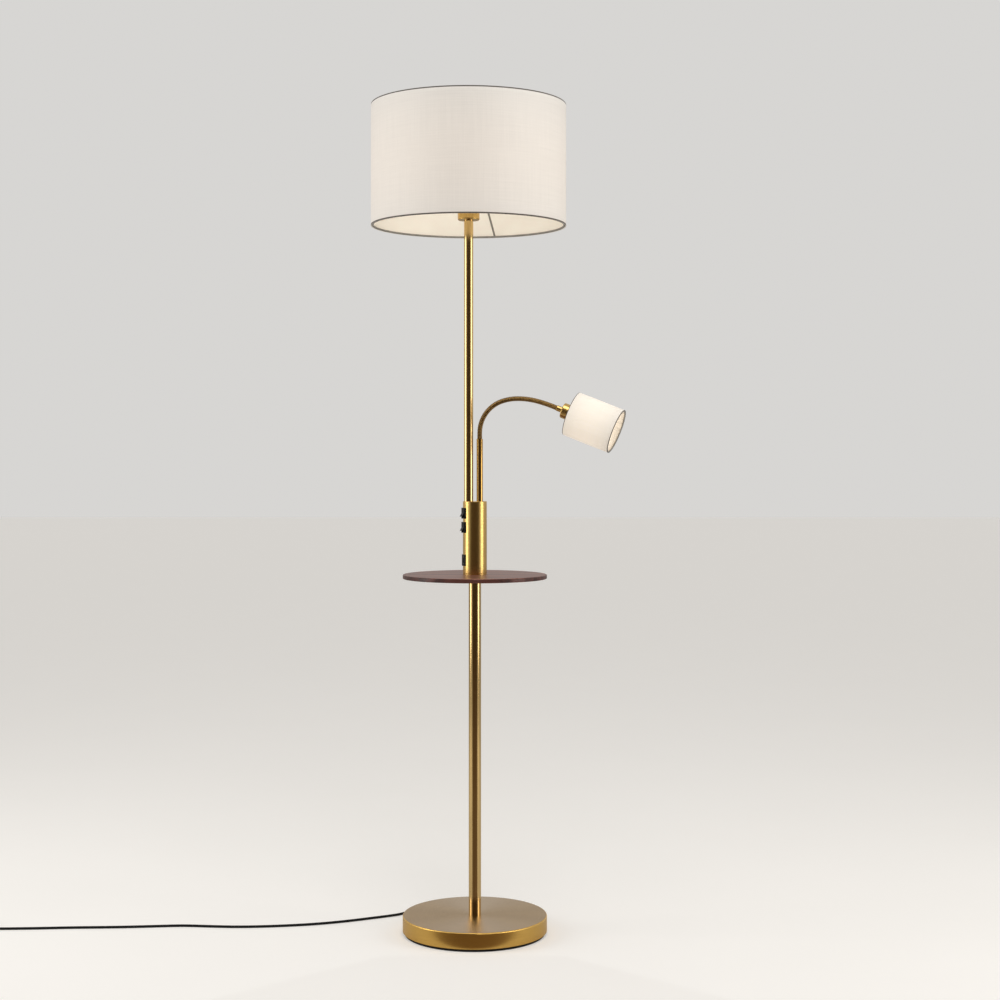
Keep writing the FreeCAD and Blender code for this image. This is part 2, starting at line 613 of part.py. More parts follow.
def bulb(neck, neck_length, radius, bottom, length):
    """Pear shaped bulb: a straight neck, a flare and a round crown."""
    centre = bottom + length - radius
    low = Vector(neck, 0, bottom + neck_length)
    shoulder = ball_point(radius, centre, -35)
    waist = Vector(neck + 0.30 * (shoulder.x - neck), 0, low.z + 0.55 * (shoulder.z - low.z))
    side = ball_point(radius, centre, 25)
    crown = Vector(0, 0, centre + radius)
    outline = Part.Wire([
        Part.makeLine(Vector(0, 0, bottom), Vector(neck, 0, bottom)),
        Part.makeLine(Vector(neck, 0, bottom), low),
        Part.Arc(low, waist, shoulder).toShape(),
        Part.Arc(shoulder, side, crown).toShape(),
        Part.makeLine(crown, Vector(0, 0, bottom)),
    ])
    return Part.Face(outline).revolve(Vector(0, 0, 0), Z_AXIS, 360)


# ---------------------------------------------------------------- main shade

def hub_level():
    """Level of the shade spider's hub, above the cup."""
    return POLE_TOP + CUP_HEIGHT + CLAMP_RING_HEIGHT + 1.0


def wire_ring(centre_radius, level, x=0.0):
    """Ring of shade wire."""
    return Part.makeTorus(centre_radius, SHADE_WIRE_RADIUS, Vector(x, 0, level))


def spider():
    """Lower shade ring, hub and the bent arms that join them, as one welded frame."""
    ring_level = SHADE_BOTTOM + SHADE_WIRE_RADIUS
    arm_level = hub_level() + HUB_THICKNESS / 2
    rise = arm_level - ring_level
    bend_radius = RING_CENTRE - rise / math.tan(math.radians(SPIDER_RISE_ANGLE))
    frame = wire_ring(RING_CENTRE, ring_level)
    hub_outer = CLAMP_RING_RADIUS + 2
    frame = frame.fuse(tube(hub_outer, HOLDER_RADIUS + FIT, hub_level(), hub_level() + HUB_THICKNESS))
    wire = SHADE_WIRE_RADIUS
    for index in range(SPIDER_ARMS):
        way = direction(SPIDER_FIRST_AZIMUTH + index * 360.0 / SPIDER_ARMS)
        foot_point = way * RING_CENTRE + Vector(0, 0, ring_level)
        knee = way * bend_radius + Vector(0, 0, arm_level)
        hub_point = way * (hub_outer - 1.0) + Vector(0, 0, arm_level)
        slope = knee - foot_point
        frame = frame.fuse(Part.makeCylinder(wire, slope.Length, foot_point, slope))
        frame = frame.fuse(Part.makeSphere(wire, knee))
        frame = frame.fuse(Part.makeCylinder(wire, (hub_point - knee).Length, knee, hub_point - knee))
    frame.translate(Vector(UPPER_POLE_X, 0, 0))
    return frame


def main_shade():
    """Drum shade: fabric over a stiff liner, on a lower frame and an upper ring."""
    x = UPPER_POLE_X
    save("shade_fabric", tube(SHADE_RADIUS, SHADE_RADIUS - FABRIC_THICKNESS, SHADE_BOTTOM, SHADE_TOP, x))
    save("shade_liner", tube(LINER_RADIUS, LINER_RADIUS - LINER_THICKNESS, SHADE_BOTTOM, SHADE_TOP, x))
    save("shade_spider", spider())
    save("shade_top_ring", wire_ring(RING_CENTRE, SHADE_TOP - SHADE_WIRE_RADIUS, x))


# ---------------------------------------------------------------- reading lamp's sleeve and gooseneck

def neck_point(distance):
    """Point and direction of the gooseneck's centreline at a distance from the sleeve's end."""
    outward = direction(NECK_AZIMUTH)
    reach = 0.0
    level = SLEEVE_TOP
    heading = 90.0
    left = distance
    straight = min(left, NECK_START)
    level += straight
    left -= straight
    for radius, turn in NECK_ARCS:
        if left <= 0:
            break
        part_turn = min(turn, math.degrees(left / radius))
        start = math.radians(heading)
        finish = math.radians(heading - part_turn)
        reach += radius * (math.sin(start) - math.sin(finish))
        level -= radius * (math.cos(start) - math.cos(finish))
        heading -= part_turn
        left -= math.radians(part_turn) * radius
    way = outward * math.cos(math.radians(heading)) + Z_AXIS * math.sin(math.radians(heading))
    if left > 0:
        reach += left * math.cos(math.radians(heading))
        level += left * math.sin(math.radians(heading))
    return outward * reach + Vector(SLEEVE_X, 0, level), way


def neck_stretch(start, end):
    """Ribbed tube between two distances along the gooseneck: four rings to a rib, round a bore."""
    count = max(1, int(round((end - start) / NECK_RIB_PITCH)))
    pitch = (end - start) / count
    valley = NECK_RADIUS - NECK_RIB_DEPTH
    normal = Z_AXIS.cross(direction(NECK_AZIMUTH))
    outer = []
    inner = []
    for index in range(count):
        shares = ((0.0, valley), (0.22, NECK_RADIUS), (0.78, NECK_RADIUS))
        for share, radius in shares:
            outer.append((start + (index + share) * pitch, radius))
        inner.append(start + index * pitch)
    outer.append((end, valley))
    inner.append(end)

    def ring(distance, radius):
        point, way = neck_point(distance)
        circle = Part.Circle(point, way, radius)
        circle.XAxis = normal
        return Part.Wire([circle.toShape()])

    skin = Part.makeLoft([ring(distance, radius) for distance, radius in outer], True, True)
    bore = Part.makeLoft([ring(distance, NECK_BORE_RADIUS) for distance in inner], True, True)
    return skin.cut(bore)


def neck():
    """Sleeve, its stud and nut, and the gooseneck in one stretch for each bend."""
    x = SLEEVE_X
    spigot_bottom = TUBE_TOP - SPIGOT_LENGTH
    save("neck_sleeve", tube(SLEEVE_RADIUS, SLEEVE_BORE_RADIUS, HOUSING_TOP, SLEEVE_TOP, x))
    stud_bottom = spigot_bottom - NUT_HEIGHT
    stud_top = HOUSING_TOP + STUD_PLUG_LENGTH
    stud = cylinder(STUD_RADIUS, stud_bottom, HOUSING_TOP, x)
    stud = stud.fuse(cylinder(SLEEVE_BORE_RADIUS - FIT, HOUSING_TOP, stud_top, x))
    save("neck_stud", stud.cut(cylinder(STUD_BORE_RADIUS, stud_bottom, stud_top, x)))
    stud_nut = hexagon(STUD_NUT_ACROSS_FLATS, stud_bottom, spigot_bottom, x)
    save("neck_nut", stud_nut.cut(cylinder(STUD_RADIUS + FIT, stud_bottom, spigot_bottom, x)))

    hinges = [NECK_FIRST_HINGE + NECK_HINGE_STEP * index for index in range(NECK_HINGES)]
    root = cylinder(NECK_RADIUS, SLEEVE_TOP - NECK_INSERTED, SLEEVE_TOP, x)
    root = root.cut(cylinder(NECK_BORE_RADIUS, SLEEVE_TOP - NECK_INSERTED, SLEEVE_TOP, x))
    save("neck_root", root.fuse(neck_stretch(0, hinges[0])))
    for index in range(NECK_HINGES - 1):
        save("neck_link_%d" % (index + 1), neck_stretch(hinges[index] + NECK_LINK_GAP, hinges[index + 1]))
    save("neck_tip", neck_stretch(hinges[-1] + NECK_LINK_GAP, NECK_FLEX_LENGTH))
    for distance in hinges + [NECK_FLEX_LENGTH + FERRULE_LENGTH]:
        point, way = neck_point(distance)
        print("neck at %.0f: %.3f %.3f %.3f along %.5f %.5f %.5f" % (distance, *point, *way))


# ---------------------------------------------------------------- reading lamp's head

def on_head(shape):
    """Carry a piece modelled up the Z axis onto the reading head's axis."""
    start, way = neck_point(NECK_FLEX_LENGTH + FERRULE_LENGTH)
    moved = shape.copy()
    turn = FreeCAD.Rotation(Z_AXIS, way)
    moved.Placement = FreeCAD.Placement(start, turn).multiply(moved.Placement)
    return moved


def head():
    """Ferrule, brass cup, lamp holder, wire frame, drum shade and bulb of the reading lamp."""
    ferrule = tube(FERRULE_RADIUS, NECK_BORE_RADIUS, -FERRULE_LENGTH, 0)
    ferrule = ferrule.makeFillet(0.8, circles_at(ferrule, FERRULE_RADIUS, -FERRULE_LENGTH))
    save("neck_ferrule", on_head(ferrule))

    cup = cylinder(HEAD_CUP_RADIUS, 0, HEAD_CUP_LENGTH)
    cup = cup.makeFillet(2.0, circles_at(cup, HEAD_CUP_RADIUS, 0))
    seat = HEAD_CUP_BASE
    cup = cup.cut(cylinder(HEAD_CUP_RADIUS - HEAD_CUP_WALL, seat, HEAD_CUP_LENGTH))
    save("head_cup", on_head(cup.cut(cylinder(NECK_BORE_RADIUS, 0, seat))))

    holder = tube(HEAD_HOLDER_RADIUS, HEAD_HOLDER_BORE_RADIUS, seat, seat + HEAD_HOLDER_LENGTH)
    floor = tube(HEAD_HOLDER_BORE_RADIUS + 1, NECK_BORE_RADIUS, seat, seat + HEAD_HOLDER_FLOOR)
    holder = holder.fuse(floor)
    save("head_holder", on_head(holder))

    wire = HEAD_WIRE_RADIUS
    ring_radius = HEAD_SHADE_RADIUS - FABRIC_THICKNESS - FIT - wire
    ring_at = HEAD_SHADE_START + wire
    frame = Part.makeTorus(ring_radius, wire, Vector(0, 0, ring_at))
    hub_end = HEAD_HUB_AT + HUB_THICKNESS
    shade_end = HEAD_SHADE_START + HEAD_SHADE_LENGTH
    frame = frame.fuse(tube(HEAD_RING_RADIUS, HEAD_HOLDER_RADIUS + FIT, HEAD_HUB_AT, hub_end))
    for index in range(SPIDER_ARMS):
        way = direction(90 + index * 360.0 / SPIDER_ARMS)
        outer_point = way * ring_radius + Vector(0, 0, ring_at)
        inner_point = way * (HEAD_RING_RADIUS - 1) + Vector(0, 0, HEAD_HUB_AT + HUB_THICKNESS / 2)
        span = inner_point - outer_point
        frame = frame.fuse(Part.makeCylinder(wire, span.Length, outer_point, span))
    frame = frame.cut(cylinder(HEAD_HOLDER_RADIUS + FIT, 0, shade_end))
    save("head_spider", on_head(frame))
    clamp = tube(HEAD_CLAMP_RADIUS, HEAD_HOLDER_RADIUS + FIT, hub_end, hub_end + HEAD_CLAMP_HEIGHT)
    save("head_clamp_ring", on_head(clamp))

    save("head_end_ring", on_head(Part.makeTorus(ring_radius, wire, Vector(0, 0, shade_end - wire))))
    save("head_shade", on_head(tube(HEAD_SHADE_RADIUS, HEAD_SHADE_RADIUS - FABRIC_THICKNESS,
                                    HEAD_SHADE_START, shade_end)))

    contact = seat + HEAD_HOLDER_FLOOR + CONTACT_GAP
    cap_top = contact + HEAD_BULB_CAP_LENGTH
    cap = revolve(((0, contact), (2.5, contact), (HEAD_BULB_CAP_RADIUS, contact + 3),
                   (HEAD_BULB_CAP_RADIUS, cap_top), (0, cap_top)))
    save("head_bulb_cap", on_head(cap))
    glass = bulb(HEAD_BULB_CAP_RADIUS, HEAD_BULB_NECK_LENGTH, HEAD_BULB_RADIUS, cap_top, HEAD_BULB_LENGTH)
    save("head_bulb", on_head(glass))


# ---------------------------------------------------------------- cord, coil and plug

def cord_start():
    """Where the cord leaves its bushing."""
    way = direction(CORD_EXIT_AZIMUTH)
    return way * (FOOT_RADIUS + BUSHING_LENGTH) + Vector(0, 0, CORD_EXIT_HEIGHT)


def bushing_and_lead():
    """Strain relief in the foot's wall, and the lead from there up into the housing."""
    way = direction(CORD_EXIT_AZIMUTH)
    turn = FreeCAD.Rotation(Z_AXIS, way)
    root = FOOT_RADIUS - COVER_WALL
    tip = FOOT_RADIUS + BUSHING_LENGTH
    sleeve = Part.makeCone(BUSHING_ROOT_RADIUS, BUSHING_TIP_RADIUS, tip - root, Vector(0, 0, root))
    flange = Part.makeCylinder(BUSHING_FLANGE_RADIUS, BUSHING_FLANGE, Vector(0, 0, FOOT_RADIUS))
    sleeve = sleeve.fuse(flange)
    sleeve = sleeve.cut(Part.makeCylinder(CORD_RADIUS + FIT, tip, Vector(0, 0, 0)))
    sleeve.Placement = FreeCAD.Placement(Vector(0, 0, CORD_EXIT_HEIGHT), turn)
    save("cord_bushing", sleeve)

    bend = LEAD_BEND_RADIUS
    level = CORD_EXIT_HEIGHT
    start = way * tip + Vector(0, 0, level)
    near = way * bend + Vector(0, 0, level)
    up = Vector(0, 0, level + bend)
    top = Vector(0, 0, PORT_LEVEL + LEAD_TOP_RISE)
    middle = way * (bend * (1 - math.sqrt(0.5))) + Vector(0, 0, level + bend * (1 - math.sqrt(0.5)))
    edges = [Part.makeLine(start, near), Part.Arc(near, middle, up).toShape(), Part.makeLine(up, top)]
    return edges, start, way * -1


def rounded_route(points):
    """Straight runs joined by tangent arcs, each as large as its two runs allow."""
    edges = []
    radii = []
    last = points[0]
    for index in range(1, len(points) - 1):
        before = points[index - 1]
        corner = points[index]
        after = points[index + 1]
        way_in = (corner - before).normalize()
        way_out = (after - corner).normalize()
        half = way_in.getAngle(way_out) / 2
        shorter = min((corner - before).Length, (after - corner).Length)
        cut = 0.45 * shorter
        radii.append(cut / math.tan(half))
        start = corner - way_in * cut
        end = corner + way_out * cut
        edges.append(Part.makeLine(last, start))
        edges.append(arc_edge(start, way_in, end))
        last = end
    edges.append(Part.makeLine(last, points[-1]))
    return edges, radii


def coil_point(turns):
    """Point and direction on the coil after some turns: in, up half a turn, and out again."""
    spiral = COIL_PITCH
    total = 2 * COIL_TURNS_IN + 0.5
    climb_end = COIL_TURNS_IN + 0.5
    if turns <= COIL_TURNS_IN:
        radius = COIL_RADIUS - spiral * turns
        slope = -spiral
        rise = 0.0
        rise_rate = 0.0
    elif turns < climb_end:
        radius = COIL_RADIUS - spiral * COIL_TURNS_IN
        slope = 0.0
        share = (turns - COIL_TURNS_IN) / 0.5
        rise = spiral * (3 * share ** 2 - 2 * share ** 3)
        rise_rate = spiral * (6 * share - 6 * share ** 2) / 0.5
    else:
        radius = COIL_RADIUS - spiral * (total - turns)
        slope = spiral
        rise = spiral
        rise_rate = 0.0
    angle = -math.pi / 2 - 2 * math.pi * turns
    outward = Vector(math.cos(angle), math.sin(angle), 0)
    around = Vector(math.sin(angle), -math.cos(angle), 0)
    start = Vector(*COIL_START)
    centre = start + Vector(-COIL_LEAD_IN, COIL_RADIUS, 0)
    point = centre + outward * radius + Vector(0, 0, rise)
    way = around * (2 * math.pi * radius) + outward * slope + Vector(0, 0, rise_rate)
    return point, way.normalize()


def cord():
    """Mains cord: the lead inside, the free stretch on the floor, the coil, and the plug."""
    lead_edges, start, way = bushing_and_lead()
    save("inner_lead", pipe(lead_edges, CORD_RADIUS, start, way))

    points = [start] + [Vector(*point) for point in CORD_POINTS] + [Vector(*COIL_START)]
    route, radii = rounded_route(points)
    first_way = (points[1] - points[0]).normalize()
    free = pipe(route, CORD_RADIUS, start, first_way)
    length = sum(edge.Length for edge in route)
    print("cord radii", " ".join("%.0f" % radius for radius in radii))
    section = math.pi * CORD_RADIUS ** 2
    print("cord length %.1f volume ratio %.5f" % (length, free.Volume / (section * length)))
    save("mains_cord", free)

    total = 2 * COIL_TURNS_IN + 0.5
    steps = int(round(total * 4))
    lead_in = Vector(*COIL_START)
    last = lead_in - X_AXIS * 2 * CORD_RADIUS
    edges = [Part.makeLine(lead_in, last)]
    last_way = X_AXIS * -1
    edges += biarc(last, last_way, *coil_point(0.25))
    last, last_way = coil_point(0.25)
    for index in range(2, steps):
        point, tangent = coil_point(index * 0.25)
        edges += biarc(last, last_way, point, tangent)
        last, last_way = point, tangent
    end = coil_point(total)[0]
    edges += biarc(last, last_way, end, X_AXIS * -1)
    tail_end = end - X_AXIS * TAIL_LENGTH
    edges.append(Part.makeLine(end, tail_end))
    coil = pipe(edges, CORD_RADIUS, lead_in, X_AXIS * -1)
    coil_length = sum(edge.Length for edge in edges)
    print("coil length %.1f volume ratio %.5f" % (coil_length, coil.Volume / (section * coil_length)))
    print("coil gap to itself %.2f" % least_gap(edges))
    save("mains_cord_coil", coil)
    plug(tail_end)


def least_gap(edges):
    """Least gap between stretches of a coil that are well apart along it."""
    places = []
    along = 0.0
    for edge in edges:
        count = max(2, int(edge.Length / 3.0))
        samples = edge.discretize(count + 1)
        for sample in samples[:-1]:
            places.append((along, sample))
            along += edge.Length / count
    least = 1e9
    for index, (at, point) in enumerate(places):
        for other_at, other in places[index + 1:]:
            if other_at - at < 12 * CORD_RADIUS:
                continue
            least = min(least, (point - other).Length - 2 * CORD_RADIUS)
    return least


def plug(tail_end):
    """Flat two pin plug, lying on the floor at the end of the coil's tail."""
    neck_end = tail_end - X_AXIS * PLUG_NECK_LENGTH
    half_thick = PLUG_THICKNESS / 2
    outline = []
    for distance, half in ((0.0, 4.0), (PLUG_NECK_LENGTH, 5.0), (PLUG_NECK_LENGTH + 10, PLUG_WIDTH / 2),
                           (PLUG_NECK_LENGTH + PLUG_LENGTH, PLUG_WIDTH / 2)):
        outline.append((tail_end.x - distance, half))
    corners = [Vector(x, tail_end.y + half, tail_end.z - half_thick) for x, half in outline]
    corners += [Vector(x, tail_end.y - half, tail_end.z - half_thick) for x, half in reversed(outline)]
    corners.append(corners[0])
    body = Part.Face(Part.makePolygon(corners)).extrude(Vector(0, 0, PLUG_THICKNESS))
    long_edges = [edge for edge in body.Edges if abs(edge.tangentAt(edge.FirstParameter).z) < 0.1]
    body = body.makeFillet(1.8, long_edges)
    save("plug_body", body)
    face_x = neck_end.x - PLUG_LENGTH
    pins = []
    for side in (-1, 1):
        base = Vector(face_x, tail_end.y + side * PIN_SPACING / 2, tail_end.z)
        pin = Part.makeCylinder(PIN_RADIUS, PIN_LENGTH - PIN_RADIUS, base, X_AXIS * -1)
        pins.append(pin.fuse(Part.makeSphere(PIN_RADIUS, base - X_AXIS * (PIN_LENGTH - PIN_RADIUS))))
    save("plug_pins", Part.makeCompound(pins))


def main():
    """Write every sub-part."""
    os.makedirs("parts", exist_ok=True)
    foot()
    rods_and_nuts()
    lower_pole()
    table()
    housing()
    switches()
    charging_port()
    upper_pole()
    main_holder()
    main_shade()
    neck()
    head()
    cord()


if __name__ == "__main__":
    main()
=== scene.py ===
"""Floor lamp with a round table: the dressed model, its stage, lights and camera.

Every piece is made in metres in the frame of the construction model, and rides on one of its bodies.
"""

import logging
import math
from dataclasses import dataclass
from enum import Enum
from typing import Optional, Sequence

import bmesh
import bpy
from mathutils import Matrix, Vector


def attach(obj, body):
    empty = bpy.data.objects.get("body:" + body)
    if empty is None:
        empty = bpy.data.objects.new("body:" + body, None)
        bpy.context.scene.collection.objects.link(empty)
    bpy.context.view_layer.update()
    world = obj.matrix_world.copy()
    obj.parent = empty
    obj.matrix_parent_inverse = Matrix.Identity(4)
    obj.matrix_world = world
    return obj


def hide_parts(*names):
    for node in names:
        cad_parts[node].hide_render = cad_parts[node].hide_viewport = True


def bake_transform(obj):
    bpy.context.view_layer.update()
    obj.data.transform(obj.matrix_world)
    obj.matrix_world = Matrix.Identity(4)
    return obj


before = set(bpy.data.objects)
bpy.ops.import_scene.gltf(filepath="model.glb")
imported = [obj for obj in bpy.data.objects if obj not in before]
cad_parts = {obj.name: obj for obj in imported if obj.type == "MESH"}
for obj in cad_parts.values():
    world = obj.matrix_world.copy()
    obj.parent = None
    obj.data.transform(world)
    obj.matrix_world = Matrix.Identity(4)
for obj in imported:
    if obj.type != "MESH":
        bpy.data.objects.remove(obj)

LOG = logging.getLogger("lamp")
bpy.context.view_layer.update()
MM = 0.001
FULL_TURN = 2 * math.pi
WELD = 1e-6                     # points nearer than this are one
FINE_STEPS = 192                # segments round the largest pieces
FOOT_RADIUS = 140.0 * MM
FOOT_TOP = 36.0 * MM
POLE_X = -12.1 * MM             # upper pole's axis
SLEEVE_X = 9.4 * MM             # gooseneck sleeve's axis
CORD_AZIMUTH = 125.0            # where the cord leaves the foot, in degrees
CORD_LEVEL = 12.0 * MM
RELIEF_TIP = 159.0 * MM         # end of the strain relief, from the lamp's axis
Point = tuple[float, float, float]
Colour = tuple[float, float, float]
Object = bpy.types.Object
Material = bpy.types.Material
Socket = bpy.types.NodeSocket


# ---------------------------------------------------------------- small tools

def add_object(name: str, data: bpy.types.ID) -> Object:
    """Link a new object to the scene.

    Args:
        name: The object's name.
        data: Its mesh, curve, camera or lamp.

    Returns:
        The object.
    """
    obj = bpy.data.objects.new(name, data)
    bpy.context.scene.collection.objects.link(obj)
    return obj


def mesh_object(name: str, bm: bmesh.types.BMesh, smooth_angle: float = 35.0) -> Object:
    """Turn a bmesh into an object with outward normals and smooth shading.

    Args:
        name: The piece's name.
        bm: The mesh, which is freed.
        smooth_angle: Edges sharper than this many degrees stay sharp.

    Returns:
        The new object, linked to the scene.
    """
    bmesh.ops.remove_doubles(bm, verts=bm.verts, dist=WELD)
    bmesh.ops.recalc_face_normals(bm, faces=bm.faces)
    limit = math.radians(smooth_angle)
    for edge in bm.edges:
        if len(edge.link_faces) == 2:
            edge.smooth = edge.calc_face_angle(0.0) < limit
    for face in bm.faces:
        face.smooth = True
    mesh = bpy.data.meshes.new(name)
    bm.to_mesh(mesh)
    bm.free()
    return add_object(name, mesh)


def lathe(name: str, profile: Sequence[tuple[float, float]], steps: int,
          centre: Point = (0.0, 0.0, 0.0), axis: Optional[Vector] = None) -> Object:
    """Turn a closed profile of (radius, height) points about an axis.

    Args:
        name: The piece's name.
        profile: Points in metres.
        steps: Segments round the axis.
        centre: Where height 0 lies on the axis.
        axis: Direction of the axis, +Z when left out.

    Returns:
        The turned object.
    """
    bm = bmesh.new()
    rings = []
    for radius, height in profile:
        angles = [FULL_TURN * step / steps for step in range(steps)]
        rings.append([bm.verts.new((radius * math.cos(a), radius * math.sin(a), height)) for a in angles])
    for low, high in zip(rings, rings[1:] + rings[:1]):
        for step in range(steps):
            after = (step + 1) % steps
            bm.faces.new([low[step], low[after], high[after], high[step]])
    turn = Matrix.Identity(4)
    if axis is not None:
        turn = Vector((0, 0, 1)).rotation_difference(axis).to_matrix().to_4x4()
    bmesh.ops.transform(bm, matrix=Matrix.Translation(centre) @ turn, verts=bm.verts)
    return mesh_object(name, bm)


def dress(obj: Object, material: Material) -> Object:
    """Give a piece one material.

    Args:
        obj: The piece.
        material: Its finish.

    Returns:
        The same piece.
    """
    obj.data.materials.clear()
    obj.data.materials.append(material)
    return obj


def dress_nodes(material: Material, *names: str) -> None:
    """Give construction nodes one material.

    Args:
        material: The finish.
        names: The nodes' names.
    """
    for name in names:
        dress(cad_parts[name], material)

# ---------------------------------------------------------------- finishes

class Tree:
    """A node tree, with short calls for making and joining nodes."""

    def __init__(self, tree: bpy.types.NodeTree) -> None:
        """Take over a tree.

        Args:
            tree: The node tree to fill.
        """
        self.nodes = tree.nodes
        self.links = tree.links

    def feed(self, socket: Socket, value: object) -> None:
        """Join an output to a socket, or set the socket's own value.

        Args:
            socket: The input.
            value: An output socket or a plain value.
        """
        if isinstance(value, Socket):
            self.links.new(value, socket)
        else:
            socket.default_value = value

    def add(self, kind: str, inputs: Optional[dict] = None, **properties: object) -> bpy.types.Node:
        """Add a node, set its properties and inputs.

        Args:
            kind: The node's type name.
            inputs: Values or output sockets for its inputs, by name or number.
            properties: Attributes of the node.

        Returns:
            The node.
        """
        node = self.nodes.new(kind)
        for key, value in properties.items():
            setattr(node, key, value)
        for key, value in (inputs or {}).items():
            self.feed(node.inputs[key], value)
        return node

    def maths(self, operation: str, *values: object) -> Socket:
        """Add a Math node.

        Args:
            operation: What it does.
            values: Its inputs.

        Returns:
            Its result.
        """
        return self.add("ShaderNodeMath", dict(enumerate(values)), operation=operation).outputs[0]

    def vector(self, operation: str, *values: object) -> Socket:
        """Add a Vector Math node.

        Args:
            operation: What it does.
            values: Its inputs.

        Returns:
            Its result.
        """
        return self.add("ShaderNodeVectorMath", dict(enumerate(values)), operation=operation).outputs[0]

    def span(self, value: object, low: float, high: float) -> Socket:
        """Spread a value from 0 to 1 between two ends.

        Args:
            value: The value.
            low: Result at 0.
            high: Result at 1.

        Returns:
            The spread value.
        """
        return self.add("ShaderNodeMapRange", {"Value": value, "To Min": low, "To Max": high}).outputs[0]


class Graph(Tree):
    """A material's node tree round its own shader."""

    MIX_LOW, MIX_HIGH, MIX_RESULT = 6, 7, 2

    def __init__(self, name: str) -> None:
        """Make an empty material with its shader and output.

        Args:
            name: The material's name.
        """
        self.material = bpy.data.materials.new(name)
        self.material.use_nodes = True
        super().__init__(self.material.node_tree)
        self.shader = self.nodes["Principled BSDF"]

    def set(self, **values: object) -> None:
        """Set the shader's inputs.

        Args:
            values: Values by input; an underscore in a name stands for a space.
        """
        for key, value in values.items():
            self.feed(self.shader.inputs[key.replace("_", " ")], value)

    def place(self, kind: str = "Object") -> Socket:
        """Texture coordinates.

        Args:
            kind: Object, or UV for the UV map.

        Returns:
            The coordinates.
        """
        return self.add("ShaderNodeTexCoord").outputs[kind]

    def split(self, vector: Socket) -> Sequence[Socket]:
        """Split a vector.

        Args:
            vector: The vector.

        Returns:
            Its three parts.
        """
        return self.add("ShaderNodeSeparateXYZ", {"Vector": vector}).outputs

    def join(self, x: object, y: object, z: object) -> Socket:
        """Join three parts into a vector.

        Args:
            x: First part.
            y: Second part.
            z: Third part.

        Returns:
            The vector.
        """
        return self.add("ShaderNodeCombineXYZ", {"X": x, "Y": y, "Z": z}).outputs[0]

    def radius(self, parts: Sequence[Socket]) -> Socket:
        """Distance from the upright axis.

        Args:
            parts: The parts of a split vector.

        Returns:
            The distance.
        """
        squares = [self.maths("MULTIPLY", part, part) for part in parts[:2]]
        return self.maths("SQRT", self.maths("ADD", *squares))

    def noise(self, vector: object, scale: float, detail: float = 3.0, rough: float = 0.5) -> Socket:
        """Add a noise texture.

        Args:
            vector: Where it is read.
            scale: Its scale.
            detail: Its octaves.
            rough: Its roughness.

        Returns:
            Noise between 0 and 1.
        """
        inputs = {"Vector": vector, "Scale": scale, "Detail": detail, "Roughness": rough}
        return self.add("ShaderNodeTexNoise", inputs).outputs["Fac"]

    def ramp(self, value: Socket, low: float, dark: Colour, high: float, light: Colour,
             middle: Optional[tuple[float, Colour]] = None) -> Socket:
        """Colour by value.

        Args:
            value: The value.
            low: Where the dark colour ends.
            dark: The dark colour.
            high: Where the light colour starts.
            light: The light colour.
            middle: Position and colour of a stop between them.

        Returns:
            The colour.
        """
        node = self.add("ShaderNodeValToRGB", {"Fac": value})
        stops = [(low, dark), *([middle] if middle else []), (high, light)]
        elements = node.color_ramp.elements
        while len(elements) < len(stops):
            elements.new(0.5)
        for element, (position, colour) in zip(elements, stops):
            element.position = position
            element.color = (*colour, 1.0)
        return node.outputs["Color"]

    def fade(self, value: Socket, start: float, end: float, curve: str = "LINEAR") -> Socket:
        """A share that goes from 0 to 1 as a value goes from start to end.

        Args:
            value: The value.
            start: Where the share leaves 0.
            end: Where it reaches 1.
            curve: The kind of interpolation.

        Returns:
            The share.
        """
        return self.add("ShaderNodeMapRange", {"Value": value, "From Min": start, "From Max": end},
                        interpolation_type=curve).outputs[0]

    def mix(self, factor: Socket, low: object, high: object) -> Socket:
        """Mix two colours.

        Args:
            factor: Share of the second.
            low: The first.
            high: The second.

        Returns:
            The mixed colour.
        """
        inputs = {"Factor": factor, self.MIX_LOW: low, self.MIX_HIGH: high}
        return self.add("ShaderNodeMix", inputs, data_type="RGBA").outputs[self.MIX_RESULT]

    def blend(self, first: Socket, share: float, second: Socket, other: Optional[float] = None) -> Socket:
        """Add shares of two values.

        Args:
            first: The first value.
            share: Its share.
            second: The second value.
            other: The second's share, what is left of 1 when left out.

        Returns:
            The sum.
        """
        rest = 1.0 - share if other is None else other
        return self.maths("ADD", self.maths("MULTIPLY", first, share), self.maths("MULTIPLY", second, rest))

    def bump(self, height: Socket, strength: float, distance: float) -> None:
        """Bump the shader's normal.

        Args:
            height: The height.
            strength: How strongly.
            distance: Depth in metres.
        """
        node = self.add("ShaderNodeBump", {"Height": height, "Strength": strength, "Distance": distance})
        self.feed(self.shader.inputs["Normal"], node.outputs["Normal"])


def toned(colour: Colour, share: float) -> Colour:
    """Scale a colour.

    Args:
        colour: The colour.
        share: What each part is multiplied by.

    Returns:
        The scaled colour.
    """
    return tuple(part * share for part in colour)


class Grain(Enum):
    """How a metal's brushing runs."""

    ROUND = "round the upright axis, as on a turned disc"
    ALONG = "along the upright axis"
    NONE = "no visible direction"


